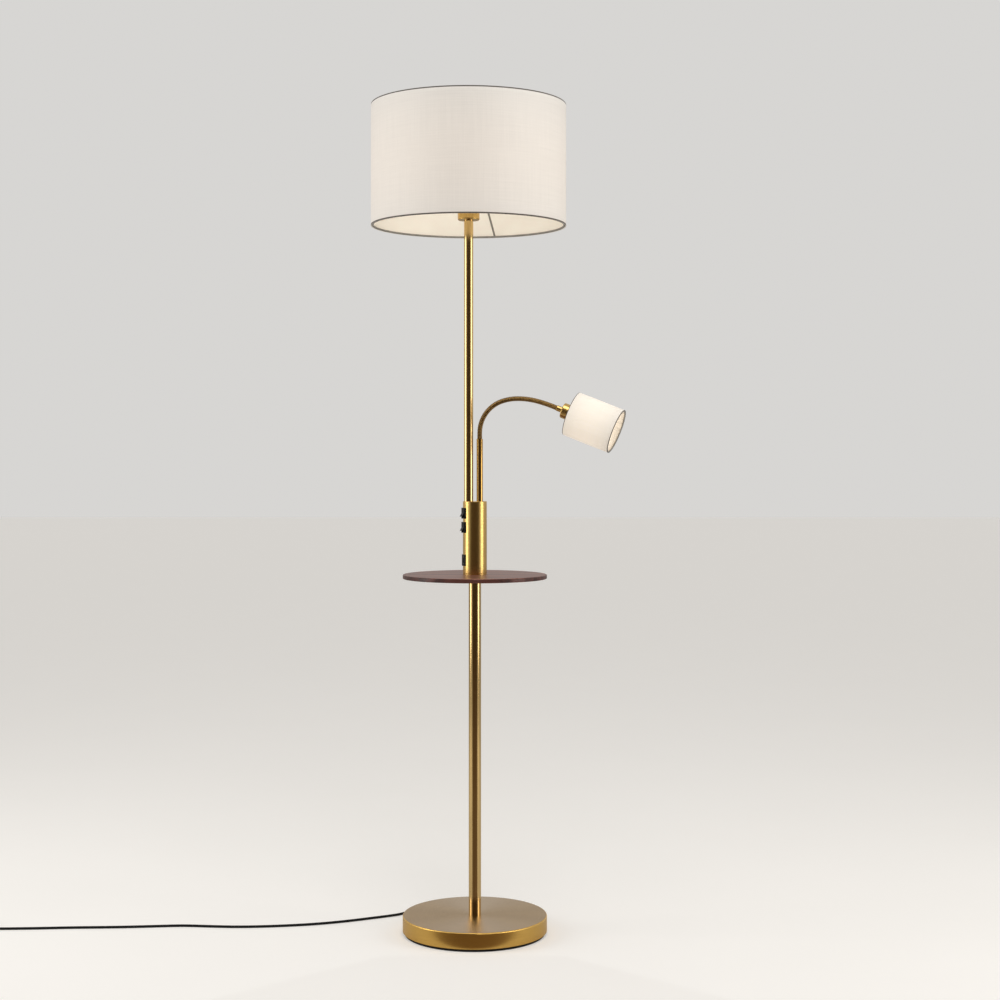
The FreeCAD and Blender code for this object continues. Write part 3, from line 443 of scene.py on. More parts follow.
@dataclass(frozen=True)
class Metal:
    """A brushed, satin or plain metal; its top may get a duller colour, a painted reflection of the room
    above it.
    """

    name: str
    colour: Colour
    dark: Colour
    roughness: float = 0.3
    grain: Grain = Grain.NONE
    anisotropy: float = 0.0
    grain_scale: float = 900.0
    grain_depth: float = 0.10
    centre_x: float = 0.0
    top_reflection_colour: Optional[Colour] = None
    top_level: float = 0.0
    top_fade: tuple[float, float] = (0.4 * MM, 0.1 * MM)
    top_reflection_tone: float = 0.84
    clouds: Point = (14.0, 4.0, 0.6)
    streaks: tuple[float, float] = (5.0, 0.65)
    streak_share: float = 0.8
    stops: tuple[float, float] = (0.32, 0.62)
    rougher: float = 1.25
    smoother: float = 0.8
    round_squeeze: float = 0.002
    along_squeeze: float = 0.02
    bump_height: float = 0.4 * MM

    def lines(self, graph: Graph, place: Socket, parts: Sequence[Socket]) -> Socket:
        """Stretch the coordinates along the brushing.

        Args:
            graph: The material's graph.
            place: Coordinates about the piece's axis.
            parts: Their three parts.

        Returns:
            The stretched coordinates.
        """
        if self.grain is Grain.NONE:
            return place
        radius = graph.radius(parts)
        angle = graph.maths("ARCTAN2", parts[1], parts[0])
        if self.grain is Grain.ROUND:
            return graph.join(radius, graph.maths("MULTIPLY", angle, self.round_squeeze), parts[2])
        around = graph.maths("MULTIPLY", angle, radius)
        return graph.join(around, radius, graph.maths("MULTIPLY", parts[2], self.along_squeeze))

    def make(self) -> Material:
        """Build the material.

        Returns:
            The material.
        """
        graph = Graph(self.name)
        low, high = self.stops
        place = graph.vector("ADD", graph.place(), (-self.centre_x, 0.0, 0.0))
        parts = graph.split(place)
        cloud = graph.noise(place, *self.clouds)
        streak = graph.noise(self.lines(graph, place, parts), self.grain_scale, *self.streaks)
        mixed = graph.blend(streak, self.streak_share, cloud)
        colour = graph.ramp(mixed, low, self.dark, high, self.colour)
        # Painted reflection: the top face gets its own duller colour, standing for the pale room mirrored
        # in it.
        if self.top_reflection_colour:
            below, near = self.top_fade
            above = graph.fade(parts[2], self.top_level - below, self.top_level - near)
            top = graph.ramp(mixed, low, toned(self.top_reflection_colour, self.top_reflection_tone), high, self.top_reflection_colour)
            colour = graph.mix(above, colour, top)
        rough, smooth = self.roughness * self.rougher, self.roughness * self.smoother
        graph.set(Base_Color=colour, Metallic=1.0, Roughness=graph.span(mixed, rough, smooth))
        if self.anisotropy:
            tangent = graph.add("ShaderNodeTangent", direction_type="RADIAL", axis="Z").outputs[0]
            graph.set(Anisotropic=self.anisotropy, Tangent=tangent)
        graph.bump(streak, self.grain_depth, self.bump_height)
        return graph.material


@dataclass(frozen=True)
class Plastic:
    """A moulded plastic or rubber with a fine skin."""

    name: str
    colour: Colour
    roughness: float = 0.45
    texture: float = 0.15
    scale: float = 1500.0
    cloud_scale: float = 60.0
    stops: tuple[float, float] = (0.35, 0.7)
    spread: tuple[float, float] = (0.9, 1.15)
    lighter_by: float = 1.35
    lighter_plus: float = 0.004
    specular: float = 0.1
    bump_height: float = 0.3 * MM

    def make(self) -> Material:
        """Build the material.

        Returns:
            The material.
        """
        graph = Graph(self.name)
        place = graph.place()
        cloud = graph.noise(place, self.cloud_scale)
        low, high = self.stops
        smooth, rough = (self.roughness * share for share in self.spread)
        lighter = tuple(min(1.0, part * self.lighter_by + self.lighter_plus) for part in self.colour)
        graph.set(Base_Color=graph.ramp(cloud, low, self.colour, high, lighter),
                  Roughness=graph.span(cloud, smooth, rough), Specular_IOR_Level=self.specular)
        graph.bump(graph.noise(place, self.scale, 2.0), self.texture, self.bump_height)
        return graph.material


@dataclass(frozen=True)
class Veneer:
    """Reddish brown wood veneer under a semi gloss lacquer, its grain along X, darker at the round outer
    edge.
    """

    name: str = "walnut_veneer"
    light: Colour = (0.32, 0.125, 0.078)
    middle: Colour = (0.165, 0.059, 0.038)
    dark: Colour = (0.050, 0.017, 0.012)
    roughness: float = 0.42
    edge_tint: Colour = (0.060, 0.020, 0.015)
    edge_radius: float = 139.3 * MM
    edge_fade: float = 0.3 * MM
    warp_stretch: Point = (3.0, 10.0, 10.0)
    warp_depth: float = 0.035
    flow_stretch: Point = (0.55, 11.0, 4.0)
    pore_stretch: Point = (18.0, 520.0, 520.0)
    warps: tuple[float, float] = (1.6, 2.0)
    figures: Point = (7.0, 6.0, 0.62)
    pores: Point = (1.0, 3.0, 0.7)
    figure_share: float = 0.78
    stops: Point = (0.36, 0.50, 0.64)
    edge_stops: tuple[float, float] = (0.40, 0.60)
    edge_tones: tuple[float, float] = (0.5, 1.9)
    spread: tuple[float, float] = (0.85, 1.2)
    pore_strength: float = 0.12
    pore_height: float = 0.2 * MM

    def make(self) -> Material:
        """Build the material.

        Returns:
            The material.
        """
        graph = Graph(self.name)
        place = graph.place()
        parts = graph.split(place)
        warp = graph.noise(graph.vector("MULTIPLY", place, self.warp_stretch), *self.warps)
        across = graph.maths("ADD", parts[1], graph.maths("MULTIPLY", warp, self.warp_depth))
        flow = graph.vector("MULTIPLY", graph.join(parts[0], across, parts[2]), self.flow_stretch)
        figure = graph.noise(flow, *self.figures)
        pores = graph.noise(graph.vector("MULTIPLY", place, self.pore_stretch), *self.pores)
        mixed = graph.blend(figure, self.figure_share, pores)
        low, centre, high = self.stops
        face = graph.ramp(mixed, low, self.dark, high, self.light, middle=(centre, self.middle))
        # The round outer edge gets a darker colour than the face.
        low, high = self.edge_stops
        dark, light = (toned(self.edge_tint, tone) for tone in self.edge_tones)
        edge_tint = graph.ramp(mixed, low, dark, high, light)
        outside = graph.fade(graph.radius(parts), self.edge_radius, self.edge_radius + self.edge_fade)
        smooth, rough = (self.roughness * share for share in self.spread)
        graph.set(Base_Color=graph.mix(outside, face, edge_tint), Roughness=graph.span(pores, smooth, rough),
                  Coat_Weight=0.08, Coat_Roughness=0.2, Specular_IOR_Level=0.3)
        graph.bump(pores, self.pore_strength, self.pore_height)
        return graph.material


@dataclass(frozen=True)
class LitFabric:
    """White linen over a liner, glowing from the bulb behind it, with a painted shadow of the wire ring at
    both ends.
    """

    name: str
    colour: Colour
    glow: Colour
    glow_strength: float
    length: float
    # width of the dark band at each end: painted shadow of the wire ring in the lit cloth
    rim_shadow_width: float = 2.8 * MM
    rim_shadow_colour: Colour = (0.105, 0.088, 0.075)
    thread: float = 5200.0
    slub_stretch: tuple[float, float] = (9.0, 420.0)
    slubs: Point = (1.0, 4.0, 0.6)
    slub_tone: float = 0.94
    slub_stops: tuple[float, float] = (0.36, 0.62)
    slub_glow: tuple[float, float] = (0.92, 0.16)
    rim_shadow_fade: float = 0.7
    glow_centre: float = 0.45
    glow_reach: float = 0.8
    glow_least: float = 0.15
    weave_depth: float = 0.35
    bump_strength: float = 0.22
    bump_height: float = 0.3 * MM

    def weave(self, graph: Graph, parts: Sequence[Socket]) -> Socket:
        """Crossed threads.

        Args:
            graph: The material's graph.
            parts: The parts of the UV map, in metres.

        Returns:
            The threads' height.
        """
        warp, weft = (graph.maths("SINE", graph.maths("MULTIPLY", part, self.thread)) for part in parts[:2])
        return graph.maths("ADD", graph.maths("MULTIPLY", warp, weft), 1.0)

    def strength(self, graph: Graph, height: Socket, slub: Socket, inside: Socket) -> Socket:
        """Strength of the glow: most near the bulb, less towards both rims, none on the painted ring
        shadows there.

        Args:
            graph: The material's graph.
            height: Height on the shade in metres.
            slub: Unevenness of the threads.
            inside: 0 on the painted ring shadows at the rims and 1 between them.

        Returns:
            The strength.
        """
        offset = graph.maths("SUBTRACT", height, self.length * self.glow_centre)
        falloff = graph.maths("DIVIDE", offset, self.length * self.glow_reach)
        middle = graph.maths("SUBTRACT", 1.0, graph.maths("MULTIPLY", falloff, falloff))
        light = graph.maths("MULTIPLY", graph.maths("MAXIMUM", middle, self.glow_least), inside)
        least, share = self.slub_glow
        grain = graph.maths("ADD", least, graph.maths("MULTIPLY", slub, share))
        return graph.maths("MULTIPLY", graph.maths("MULTIPLY", light, grain), self.glow_strength)

    def make(self) -> Material:
        """Build the material.

        Returns:
            The material.
        """
        graph = Graph(self.name)
        uv = graph.place("UV")
        parts = graph.split(uv)
        fine, coarse = self.slub_stretch
        slubs = [graph.noise(graph.vector("MULTIPLY", uv, (*stretch, 1.0)), *self.slubs)
                 for stretch in ((fine, coarse), (coarse, fine))]
        slub = graph.blend(slubs[0], 0.5, slubs[1])
        low, high = self.slub_stops
        cloth = graph.ramp(slub, low, toned(self.colour, self.slub_tone), high, self.colour)
        # Painted shadow: a dark band at both ends, without glow, stands for the wire rings' shadow in the
        # lit cloth.
        edge = graph.maths("MINIMUM", parts[1], graph.maths("SUBTRACT", self.length, parts[1]))
        inside = graph.fade(edge, self.rim_shadow_width * self.rim_shadow_fade, self.rim_shadow_width, "SMOOTHSTEP")
        graph.set(Base_Color=graph.mix(inside, (*self.rim_shadow_colour, 1.0), cloth), Roughness=0.86,
                  Sheen_Weight=0.15, Sheen_Roughness=0.5, Emission_Color=(*self.glow, 1.0),
                  Emission_Strength=self.strength(graph, parts[1], slub, inside))
        height = graph.blend(self.weave(graph, parts), self.weave_depth, slub, 1.0)
        graph.bump(height, self.bump_strength, self.bump_height)
        return graph.material


@dataclass(frozen=True)
class Glow:
    """Opal glass or a lit liner."""

    name: str
    colour: Colour
    glow: Colour
    strength: float
    roughness: float = 0.4
    clouds: tuple[float, float] = (30.0, 2.0)
    tone: float = 0.94
    stops: tuple[float, float] = (0.3, 0.7)

    def make(self) -> Material:
        """Build the material.

        Returns:
            The material.
        """
        graph = Graph(self.name)
        cloud = graph.noise(graph.place(), *self.clouds)
        low, high = self.stops
        graph.set(Base_Color=graph.ramp(cloud, low, toned(self.colour, self.tone), high, self.colour),
                  Roughness=self.roughness, Emission_Color=(*self.glow, 1.0),
                  Emission_Strength=self.strength)
        return graph.material


class Finishes:
    """Every finish on the lamp, made once."""

    def __init__(self) -> None:
        """Make all the materials."""
        turned = {"roughness": 0.25, "grain": Grain.ROUND, "grain_depth": 0.03}
        drawn = {"grain": Grain.ALONG, "grain_scale": 500.0, "grain_depth": 0.006}
        pole = {"colour": (0.72, 0.51, 0.225), "dark": (0.60, 0.41, 0.165), **drawn}
        # The foot's top colour is a painted reflection of the room, duller than its side.
        self.foot_brass = Metal("foot_brushed_brass", (0.80, 0.50, 0.135), (0.67, 0.405, 0.10),
                                anisotropy=0.9, grain_scale=1400.0, top_reflection_colour=(0.46, 0.315, 0.16),
                                top_level=FOOT_TOP, **turned).make()
        self.housing_brass = Metal("housing_brass", (0.70, 0.465, 0.165), (0.57, 0.36, 0.115),
                                   anisotropy=0.5, grain_scale=1100.0, **turned).make()
        self.pole_brass = Metal("pole_brass", roughness=0.14, **pole).make()
        self.upper_pole_brass = Metal("upper_pole_brass", roughness=0.13, centre_x=POLE_X, **pole).make()
        self.neck_bronze = Metal("neck_bronze", (0.38, 0.235, 0.085), (0.15, 0.085, 0.028), 0.22).make()
        self.sleeve_bronze = Metal("sleeve_bronze", (0.58, 0.35, 0.10), (0.44, 0.25, 0.07), roughness=0.15,
                                   centre_x=SLEEVE_X, **drawn).make()
        self.steel = Metal("zinc_steel", (0.62, 0.62, 0.60), (0.42, 0.42, 0.41), 0.35).make()
        self.pin_metal = Metal("pin_nickel", (0.78, 0.76, 0.70), (0.58, 0.56, 0.50), 0.2).make()
        self.iron = Metal("cast_iron", (0.13, 0.13, 0.13), (0.07, 0.07, 0.07), 0.7, grain_depth=0.5).make()
        self.aluminium = Metal("bulb_cap_aluminium", (0.75, 0.75, 0.74), (0.55, 0.55, 0.54), 0.3).make()
        self.white_wire = Plastic("white_wire", (0.26, 0.245, 0.22), 0.4, 0.05).make()
        self.black = Plastic("black_plastic", (0.007, 0.007, 0.008), 0.34, 0.12).make()
        self.rocker = Plastic("rocker_plastic", (0.006, 0.006, 0.007), 0.2, 0.05).make()
        self.holder = Plastic("holder_plastic", (0.03, 0.03, 0.03), 0.5, 0.2).make()
        self.rubber = Plastic("pad_rubber", (0.018, 0.017, 0.016), 0.8, 0.5, scale=700.0).make()
        self.cord = Plastic("cord_jacket", (0.009, 0.009, 0.009), 0.36, 0.12, scale=2200.0).make()
        self.board = Plastic("circuit_board", (0.03, 0.16, 0.07), 0.4, 0.1).make()
        self.veneer = Veneer().make()
        self.liner = Glow("shade_liner_lit", (0.86, 0.82, 0.74), (1.0, 0.86, 0.68), 0.20, 0.6).make()
        self.bulb = Glow("bulb_opal", (0.95, 0.92, 0.86), (1.0, 0.93, 0.82), 1.1, 0.25).make()


# ---------------------------------------------------------------- stage and camera

@dataclass(frozen=True)
class SoftBox:
    """One soft rectangular lamp."""

    name: str
    place: Point
    size: tuple[float, float]
    watts: float
    colour: Colour = (1.0, 1.0, 1.0)
    target: Point = (0.0, 0.0, 1.05)

    def hang(self) -> None:
        """Hang the box so that it points at its target."""
        data = bpy.data.lights.new(self.name, "AREA")
        data.shape = "RECTANGLE"
        data.size, data.size_y = self.size
        data.energy = self.watts
        data.color = self.colour
        lamp = add_object(self.name, data)
        lamp.location = self.place
        way = Vector(self.target) - Vector(self.place)
        lamp.rotation_euler = way.to_track_quat("-Z", "Y").to_euler()


@dataclass
class Studio:
    """Pale floor and backdrop, soft lamps, and the camera of the photograph."""

    focal_pixels: float = 1770.0
    image_pixels: float = 1000.0
    horizon_pixel: float = 458.0
    sensor_mm: float = 36.0
    camera_x: float = 0.0488
    camera_distance: float = 3.439
    camera_height: float = 0.922
    view_end: float = 50.0
    floor_half: float = 24.0
    floor_seen: float = 0.42
    floor_colour: Colour = (0.74, 0.72, 0.69)
    floor_tone: float = 0.985
    floor_clouds: float = 3.0
    cloth_clouds: tuple[float, float] = (2.0, 2.0)
    cloud_stops: tuple[float, float] = (0.3, 0.7)
    room_colour: Colour = (1.0, 0.985, 0.96)
    room_light: float = 0.44
    room_seen: float = 0.68
    cloth_half: float = 4.4
    cloth_front: float = -4.2
    cloth_near: float = -0.16
    cloth_top: float = 3.4
    cloth_colours: tuple[Colour, Colour] = ((0.075, 0.045, 0.02), (0.095, 0.058, 0.026))
    mat_colours: tuple[Colour, Colour] = ((0.14, 0.095, 0.055), (0.19, 0.125, 0.075))
    mat_lift: float = 1.0 * MM
    boxes: tuple[SoftBox, ...] = (
        SoftBox("left_box", (-2.6, -0.35, 1.38), (1.0, 2.3), 27.0, (1.0, 0.985, 0.96)),
        SoftBox("right_box", (2.5, -0.75, 1.38), (0.9, 2.3), 23.0, (1.0, 0.97, 0.93)),
        SoftBox("top_box", (0.2, -1.3, 3.0), (0.9, 1.6), 16.0, target=(0.0, 0.0, 0.6)),
    )

    def camera(self) -> None:
        """Place the camera level, with the vertical shift that the photograph has."""
        data = bpy.data.cameras.new("photo_camera")
        data.lens = self.focal_pixels * self.sensor_mm / self.image_pixels
        data.sensor_width = self.sensor_mm
        data.shift_y = (self.horizon_pixel - self.image_pixels / 2) / self.image_pixels
        data.clip_end = self.view_end
        camera = add_object("photo_camera", data)
        camera.location = (self.camera_x, -self.camera_distance, self.camera_height)
        camera.rotation_euler = (math.pi / 2, 0.0, 0.0)
        bpy.context.scene.camera = camera

    def panel(self, name: str, corners: Sequence[Point], graph: Graph) -> Object:
        """Put one flat panel on the stage.

        Args:
            name: The panel's name.
            corners: Its four corners.
            graph: The graph of its material.

        Returns:
            The panel.
        """
        bm = bmesh.new()
        bm.faces.new([bm.verts.new(corner) for corner in corners])
        panel = dress(mesh_object(name, bm), graph.material)
        return panel

    def floor(self) -> None:
        """Lay a pale floor, evened out by a faint glow that only the camera sees."""
        half = self.floor_half
        graph = Graph("studio_floor")
        cloud = graph.noise(graph.place(), self.floor_clouds)
        low, high = self.cloud_stops
        seen = graph.add("ShaderNodeLightPath").outputs["Is Camera Ray"]
        darker = toned(self.floor_colour, self.floor_tone)
        graph.set(Base_Color=graph.ramp(cloud, low, darker, high, self.floor_colour), Roughness=0.75,
                  Emission_Color=(*self.floor_colour, 1.0),
                  Emission_Strength=graph.span(seen, 0.0, self.floor_seen))
        self.panel("studio_floor", ((-half, -half, 0.0), (half, -half, 0.0), (half, half, 0.0),
                                    (-half, half, 0.0)), graph)

    def world(self) -> None:
        """Light the scene evenly from a pale room, brighter where camera, glossy and clear rays see it."""
        world = bpy.data.worlds.new("studio_world")
        bpy.context.scene.world = world
        world.use_nodes = True
        tree = Tree(world.node_tree)
        background = tree.nodes["Background"].inputs
        path = tree.add("ShaderNodeLightPath").outputs
        seen = tree.maths("MAXIMUM", path["Is Camera Ray"], path["Is Transmission Ray"])
        seen = tree.maths("MAXIMUM", seen, path["Is Glossy Ray"])
        tree.feed(background["Color"], (*self.room_colour, 1.0))
        tree.feed(background["Strength"], tree.span(seen, self.room_light, self.room_seen))

    def dark_cloth(self, name: str, corners: Sequence[Point], colours: tuple[Colour, Colour]) -> None:
        """Hang a dark cloth seen only in reflections, which gives the metal its dark middle.

        Args:
            name: The cloth's name.
            corners: Its four corners.
            colours: Darker and lighter colour of its cloudy surface.
        """
        graph = Graph(name)
        cloud = graph.noise(graph.place(), *self.cloth_clouds)
        (low, high), (dark, light) = self.cloud_stops, colours
        graph.set(Base_Color=graph.ramp(cloud, low, dark, high, light))
        cloth = self.panel(name, corners, graph)
        for kind in ("camera", "diffuse", "transmission", "shadow"):
            setattr(cloth, "visible_" + kind, False)

    def build(self) -> None:
        """Set the stage."""
        bpy.context.scene.view_settings.view_transform = "Standard"
        self.camera()
        self.floor()
        self.world()
        half, front, near, top, lift = (self.cloth_half, self.cloth_front, self.cloth_near, self.cloth_top,
                                        self.mat_lift)
        slim = half * near / front
        self.dark_cloth("studio_dark_cloth", ((-half, front, 0.0), (half, front, 0.0), (half, front, top),
                                              (-half, front, top)), self.cloth_colours)
        self.dark_cloth("studio_dark_mat", ((-half, front, lift), (half, front, lift), (slim, near, lift),
                                            (-slim, near, lift)), self.mat_colours)
        for soft_box in self.boxes:
            soft_box.hang()


# ---------------------------------------------------------------- mains cord

@dataclass
class MainsCord:
    """Black round mains cord, its coil and its flat plug."""

    finishes: Finishes
    relief: Object
    radius: float = 2.5 * MM
    length: float = 1.86
    falling: tuple[Point, ...] = (
        (-0.0987, 0.1409, 0.0104), (-0.1143, 0.1475, 0.0076), (-0.1321, 0.1447, 0.0046),
        (-0.1501, 0.1295, 0.0028),
    )
    lying: tuple[tuple[float, float], ...] = (
        (-0.172, 0.1165), (-0.212, 0.0965), (-0.262, 0.072), (-0.322, 0.051), (-0.390, 0.038),
        (-0.460, 0.0315), (-0.520, 0.036), (-0.575, 0.043), (-0.640, 0.0355), (-0.712, 0.0295),
        (-0.786, 0.0275), (-0.858, 0.0215), (-0.925, 0.0185), (-0.992, 0.0185),
    )
    lying_height: float = 0.0026
    lead_in: float = 0.004
    coil_offset: float = 8.0 * MM
    coil_radius: float = 36.0 * MM
    coil_pitch: float = 6.4 * MM
    turns_in: float = 2.25
    turns_up: float = 0.5
    points_per_turn: int = 16
    tail: float = 34.0 * MM
    tail_bend: float = 0.4
    order: int = 3
    steps: int = 6
    sides: int = 4

    def exit(self) -> Point:
        """Where the cord leaves its bushing.

        Returns:
            The point.
        """
        angle = math.radians(CORD_AZIMUTH)
        return (RELIEF_TIP * math.cos(angle), RELIEF_TIP * math.sin(angle), CORD_LEVEL)

    def coil_points(self, start: Point) -> list[Point]:
        """Turns of the coil: in on the floor, up half a turn, and out again on top.

        Args:
            start: Where the coil is reached.

        Returns:
            Points along the coil.
        """
        total = 2 * self.turns_in + self.turns_up
        centre = Vector(start) + Vector((-self.coil_offset, self.coil_radius, 0.0))
        corner = 1.0 / math.cos(math.pi / self.points_per_turn)
        points = []
        for step in range(1, int(total * self.points_per_turn)):
            turn = step / self.points_per_turn
            inwards = min(turn, self.turns_in, total - turn)
            rise = min(1.0, max(0.0, (turn - self.turns_in) / self.turns_up))
            spread = self.coil_radius - self.coil_pitch * inwards
            spread *= 1.0 + (corner - 1.0) * 0.5
            angle = -math.pi / 2 - FULL_TURN * turn
            lift = self.coil_pitch * (3 * rise ** 2 - 2 * rise ** 3)
            points.append((centre.x + spread * math.cos(angle), centre.y + spread * math.sin(angle),
                           centre.z + lift))
        return points

    def build(self) -> None:
        """Lay the cord and dress what is on it."""
        (coil_x, side), level = self.lying[-1], self.lying_height
        end_x = coil_x - self.coil_offset
        points = [self.exit(), *self.falling, *((x, y, level) for x, y in self.lying)]
        points += [(coil_x - self.lead_in, side, level), *self.coil_points((coil_x, side, level))]
        points += [(end_x - self.tail * share, side, level + self.coil_pitch)
                   for share in (0.0, self.tail_bend, 1.0)]
        curve = bpy.data.curves.new("mains_cord_run", "CURVE")
        curve.dimensions = "3D"
        spline = curve.splines.new("NURBS")
        spline.points.add(len(points) - 1)
        for target, point in zip(spline.points, points):
            target.co = (*point, 1.0)
        spline.order_u = self.order
        spline.use_endpoint_u = True
        spline.resolution_u = self.steps
        curve.bevel_depth = self.radius
        curve.bevel_resolution = self.sides
        curve.use_fill_caps = True
        cord = dress(add_object("mains_cord_run", curve), self.finishes.cord)
        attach(cord, "stand")
        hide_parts("mains_cord", "mains_cord_coil")
        dress_nodes(self.finishes.black, "plug_body")
        dress_nodes(self.finishes.pin_metal, "plug_pins")
        LOG.info("mains cord: %d points", len(points))


# ---------------------------------------------------------------- assembly

class Body(Enum):
    """The bodies that pieces ride on."""

    STAND = "stand"
    HEAD = "reading_head"


def settle(obj: Object, material: Material, body: Body, nodes: Sequence[str] = ()) -> Object:
    """Dress a finished piece and put it on its body.

    Args:
        obj: The piece.
        material: Its finish.
        body: The body that it rides on.
        nodes: Construction nodes that it stands for.

    Returns:
        The same piece.
    """
    dress(obj, material)
    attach(obj, body.value)
    if nodes:
        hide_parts(*nodes)
    LOG.info("%s: %d faces", obj.name, len(obj.data.polygons))
    return obj


class RibTree(Tree):
    """Geometry Nodes tree that winds a round wire about the gooseneck's centreline, over a smooth core."""

    POINTS_PER_TURN = 20.0
    WIRE_SIDES = 8
    CORE_SIDES = 24

    def __init__(self) -> None:
        """Build the tree with its named inputs."""
        self.group = bpy.data.node_groups.new("gooseneck_winding", "GeometryNodeTree")
        super().__init__(self.group)
        self.sockets: dict[str, str] = {}
        self.group.interface.new_socket(name="Geometry", in_out="OUTPUT", socket_type="NodeSocketGeometry")
        self.declare("Geometry", "NodeSocketGeometry")
        for name in ("Phase Length", "Wire Pitch", "Wire Radius", "Neck Radius", "Core Radius"):
            self.declare(name, "NodeSocketFloat")
        self.declare("Plane Normal", "NodeSocketVector")
        self.declare("Finish", "NodeSocketMaterial")
        self.wire(self.nodes.new("NodeGroupInput").outputs)

    def declare(self, name: str, kind: str) -> None:
        """Add one named input and keep its identifier.

        Args:
            name: The input's name.
            kind: Its socket type.
        """
        item = self.group.interface.new_socket(name=name, in_out="INPUT", socket_type=kind)
        self.sockets[name] = item.identifier

    def stretch(self, way: Socket, amount: Socket) -> Socket:
        """Multiply a vector by a number.

        Args:
            way: The vector.
            amount: The number.

        Returns:
            The longer or shorter vector.
        """
        return self.add("ShaderNodeVectorMath", {0: way, "Scale": amount}, operation="SCALE").outputs[0]

    def sweep(self, line: Socket, sides: int, radius: Socket) -> Socket:
        """Sweep a round section along a line, with closed ends.

        Args:
            line: The line.
            sides: Corners of the section.
            radius: Its radius.

        Returns:
            The mesh.
        """
        section = self.add("GeometryNodeCurvePrimitiveCircle", {"Resolution": sides, "Radius": radius})
        inputs = {"Curve": line, "Profile Curve": section.outputs[0], "Fill Caps": True}
        return self.add("GeometryNodeCurveToMesh", inputs).outputs[0]

    def wire(self, given: Sequence[Socket]) -> None:
        """Join the nodes.

        Args:
            given: The tree's named inputs.
        """
        line = self.add("GeometryNodeMeshToCurve", {"Mesh": given["Geometry"]}).outputs[0]
        length = self.add("GeometryNodeCurveLength", {"Curve": line}).outputs[0]
        turns = self.maths("DIVIDE", length, given["Wire Pitch"])
        count = self.maths("CEIL", self.maths("MULTIPLY", turns, self.POINTS_PER_TURN))
        inputs = {"Curve": line, "Count": count}
        fine = self.add("GeometryNodeResampleCurve", inputs, mode="COUNT").outputs[0]
        along = self.add("GeometryNodeSplineParameter").outputs["Length"]
        travelled = self.maths("ADD", along, given["Phase Length"])
        angle = self.maths("MULTIPLY", self.maths("DIVIDE", travelled, given["Wire Pitch"]), FULL_TURN)
        tangent = self.add("GeometryNodeInputTangent").outputs[0]
        side = given["Plane Normal"]
        up = self.vector("NORMALIZE", self.vector("CROSS_PRODUCT", tangent, side))
        reach = self.maths("SUBTRACT", given["Neck Radius"], given["Wire Radius"])
        across = self.stretch(side, self.maths("MULTIPLY", self.maths("COSINE", angle), reach))
        rise = self.stretch(up, self.maths("MULTIPLY", self.maths("SINE", angle), reach))
        offset = self.vector("ADD", across, rise)
        wound = self.add("GeometryNodeSetPosition", {"Geometry": fine, "Offset": offset}).outputs[0]
        both = self.nodes.new("GeometryNodeJoinGeometry")
        for mesh in (self.sweep(wound, self.WIRE_SIDES, given["Wire Radius"]),
                     self.sweep(line, self.CORE_SIDES, given["Core Radius"])):
            self.links.new(mesh, both.inputs[0])
        smooth = self.add("GeometryNodeSetShadeSmooth", {"Geometry": both.outputs[0]}).outputs[0]
        real = self.add("GeometryNodeRealizeInstances", {"Geometry": smooth}).outputs[0]
        inputs = {"Geometry": real, "Material": given["Finish"]}
        dressed = self.add("GeometryNodeSetMaterial", inputs).outputs[0]
        self.links.new(dressed, self.nodes.new("NodeGroupOutput").inputs[0])

    def grow(self, name: str, line: Sequence[Point], values: dict) -> Object:
        """Run the tree along a line and keep the result as a plain mesh.

        Args:
            name: The piece's name.
            line: Points of the centreline, in metres.
            values: Values of the tree's named inputs.

        Returns:
            The finished piece.
        """
        path = bpy.data.meshes.new(name + "_line")
        steps = [(i, i + 1) for i in range(len(line) - 1)]
        path.from_pydata([tuple(point) for point in line], steps, [])
        carrier = add_object(name + "_line", path)
        modifier = carrier.modifiers.new("winding", "NODES")
        modifier.node_group = self.group
        for key, value in values.items():
            modifier[self.sockets[key]] = value
        evaluated = carrier.evaluated_get(bpy.context.evaluated_depsgraph_get())
        mesh = bpy.data.meshes.new_from_object(evaluated)
        mesh.name = name
        bpy.data.objects.remove(carrier)
        return add_object(name, mesh)


